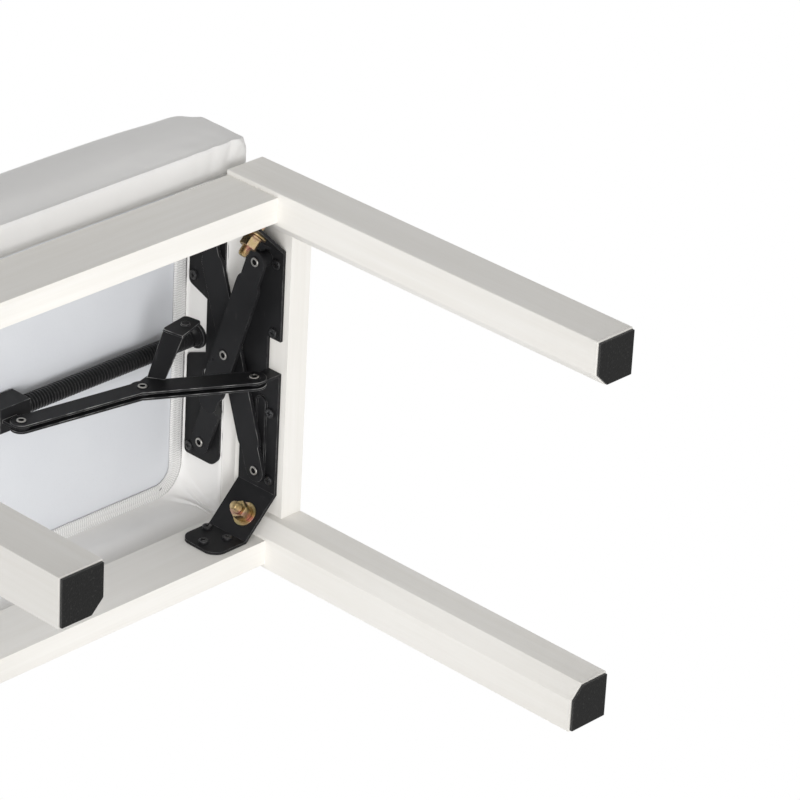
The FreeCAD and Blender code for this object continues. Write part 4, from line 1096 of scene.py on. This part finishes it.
# stage, lights and camera
stage = {"floor": 30.0, "paper": (0.9, 0.9, 0.9, 1.0), "paperRoughness": 0.9, "fill": 0.46, "keySpread": 30,
         "key": 1.85, "keyFrom": (-0.62, -0.1, -0.78), "topKey": 0.5, "topFrom": (0.45, 0.35, 0.82),
         "bounce": 0.55, "bounceSize": 0.12, "bounceAt": (-0.03, -0.03, 0.2)}


def makeFloor():
    bm = bmesh.new()
    bmesh.ops.create_grid(bm, x_segments=1, y_segments=1, size=stage["floor"] / 2)
    mesh = bpy.data.meshes.new("floor")
    bm.to_mesh(mesh)
    bm.free()
    floor = bpy.data.objects.new("floor", mesh)
    scene.collection.objects.link(floor)
    paint = Paint("paleFloor")
    paint.plug(paint.shader, {"Base Color": stage["paper"], "Roughness": stage["paperRoughness"]})
    behind = paint.node("ShaderNodeNewGeometry", result="Backfacing")
    paper = Wire(paint, paint.shader.outputs[0])
    clear = paint.node("ShaderNodeBsdfTransparent")
    mixed = paint.node("ShaderNodeMixShader", sockets={0: behind, 1: paper, 2: clear})
    paint.plug(paint.tree.nodes["Material Output"], {"Surface": mixed})
    mesh.materials.append(paint.material)
    floor.visible_shadow = False


def makeWorld():
    world = bpy.data.worlds.new("paleStudio")
    world.use_nodes = True
    tree = world.node_tree
    back = tree.nodes["Background"]
    rays = tree.nodes.new("ShaderNodeLightPath")
    seen = rays.outputs["Is Camera Ray"]
    for name in ("Is Glossy Ray", "Is Transmission Ray"):
        either = tree.nodes.new("ShaderNodeMath")
        either.operation = "MAXIMUM"
        tree.links.new(seen, either.inputs[0])
        tree.links.new(rays.outputs[name], either.inputs[1])
        seen = either.outputs[0]
    level = tree.nodes.new("ShaderNodeMapRange")
    level.inputs["To Min"].default_value = stage["fill"]
    level.inputs["To Max"].default_value = 1.0
    tree.links.new(seen, level.inputs["Value"])
    back.inputs["Color"].default_value = (1.0, 1.0, 1.0, 1.0)
    tree.links.new(level.outputs["Result"], back.inputs["Strength"])
    scene.world = world


def makeSun(name, energy, source):
    lamp = bpy.data.lights.new(name, "SUN")
    lamp.energy = energy
    lamp.angle = math.radians(stage["keySpread"])
    sun = bpy.data.objects.new(name, lamp)
    scene.collection.objects.link(sun)
    sun.rotation_euler = Vector(source).to_track_quat("Z", "Y").to_euler()


def makeBounce():
    # light thrown back into the underside, as from a white table
    lamp = bpy.data.lights.new("bounce", "POINT")
    lamp.energy = stage["bounce"]
    lamp.shadow_soft_size = stage["bounceSize"]
    bounce = bpy.data.objects.new("bounce", lamp)
    scene.collection.objects.link(bounce)
    bounce.location = stage["bounceAt"]
    bounce.visible_camera = False
    bounce.visible_glossy = False


view = {"place": (-1.9439, -1.5913, -1.8383), "right": (0.6983, -0.0473, -0.7143),
        "down": (-0.3012, 0.8858, -0.353), "forward": (0.6494, 0.4616, 0.6043),
        "focalPixels": 4491.4, "imagePixels": 800, "sensor": 36.0, "clipEnd": 50.0}


def makeCamera():
    lens = bpy.data.cameras.new("camera")
    lens.sensor_fit = "HORIZONTAL"
    lens.sensor_width = view["sensor"]
    lens.lens = view["focalPixels"] / view["imagePixels"] * view["sensor"]
    lens.clip_end = view["clipEnd"]
    camera = bpy.data.objects.new("camera", lens)
    scene.collection.objects.link(camera)
    columns = [Vector(view["right"]), -Vector(view["down"]), -Vector(view["forward"])]
    turn = Matrix(columns).transposed().to_4x4()
    camera.matrix_world = Matrix.Translation(view["place"]) @ turn
    scene.camera = camera


makeFloor()
makeWorld()
makeSun("softKey", stage["key"], stage["keyFrom"])
makeSun("topKey", stage["topKey"], stage["topFrom"])  # lights the seat's top and the back
makeBounce()
makeCamera()
print("stage set")
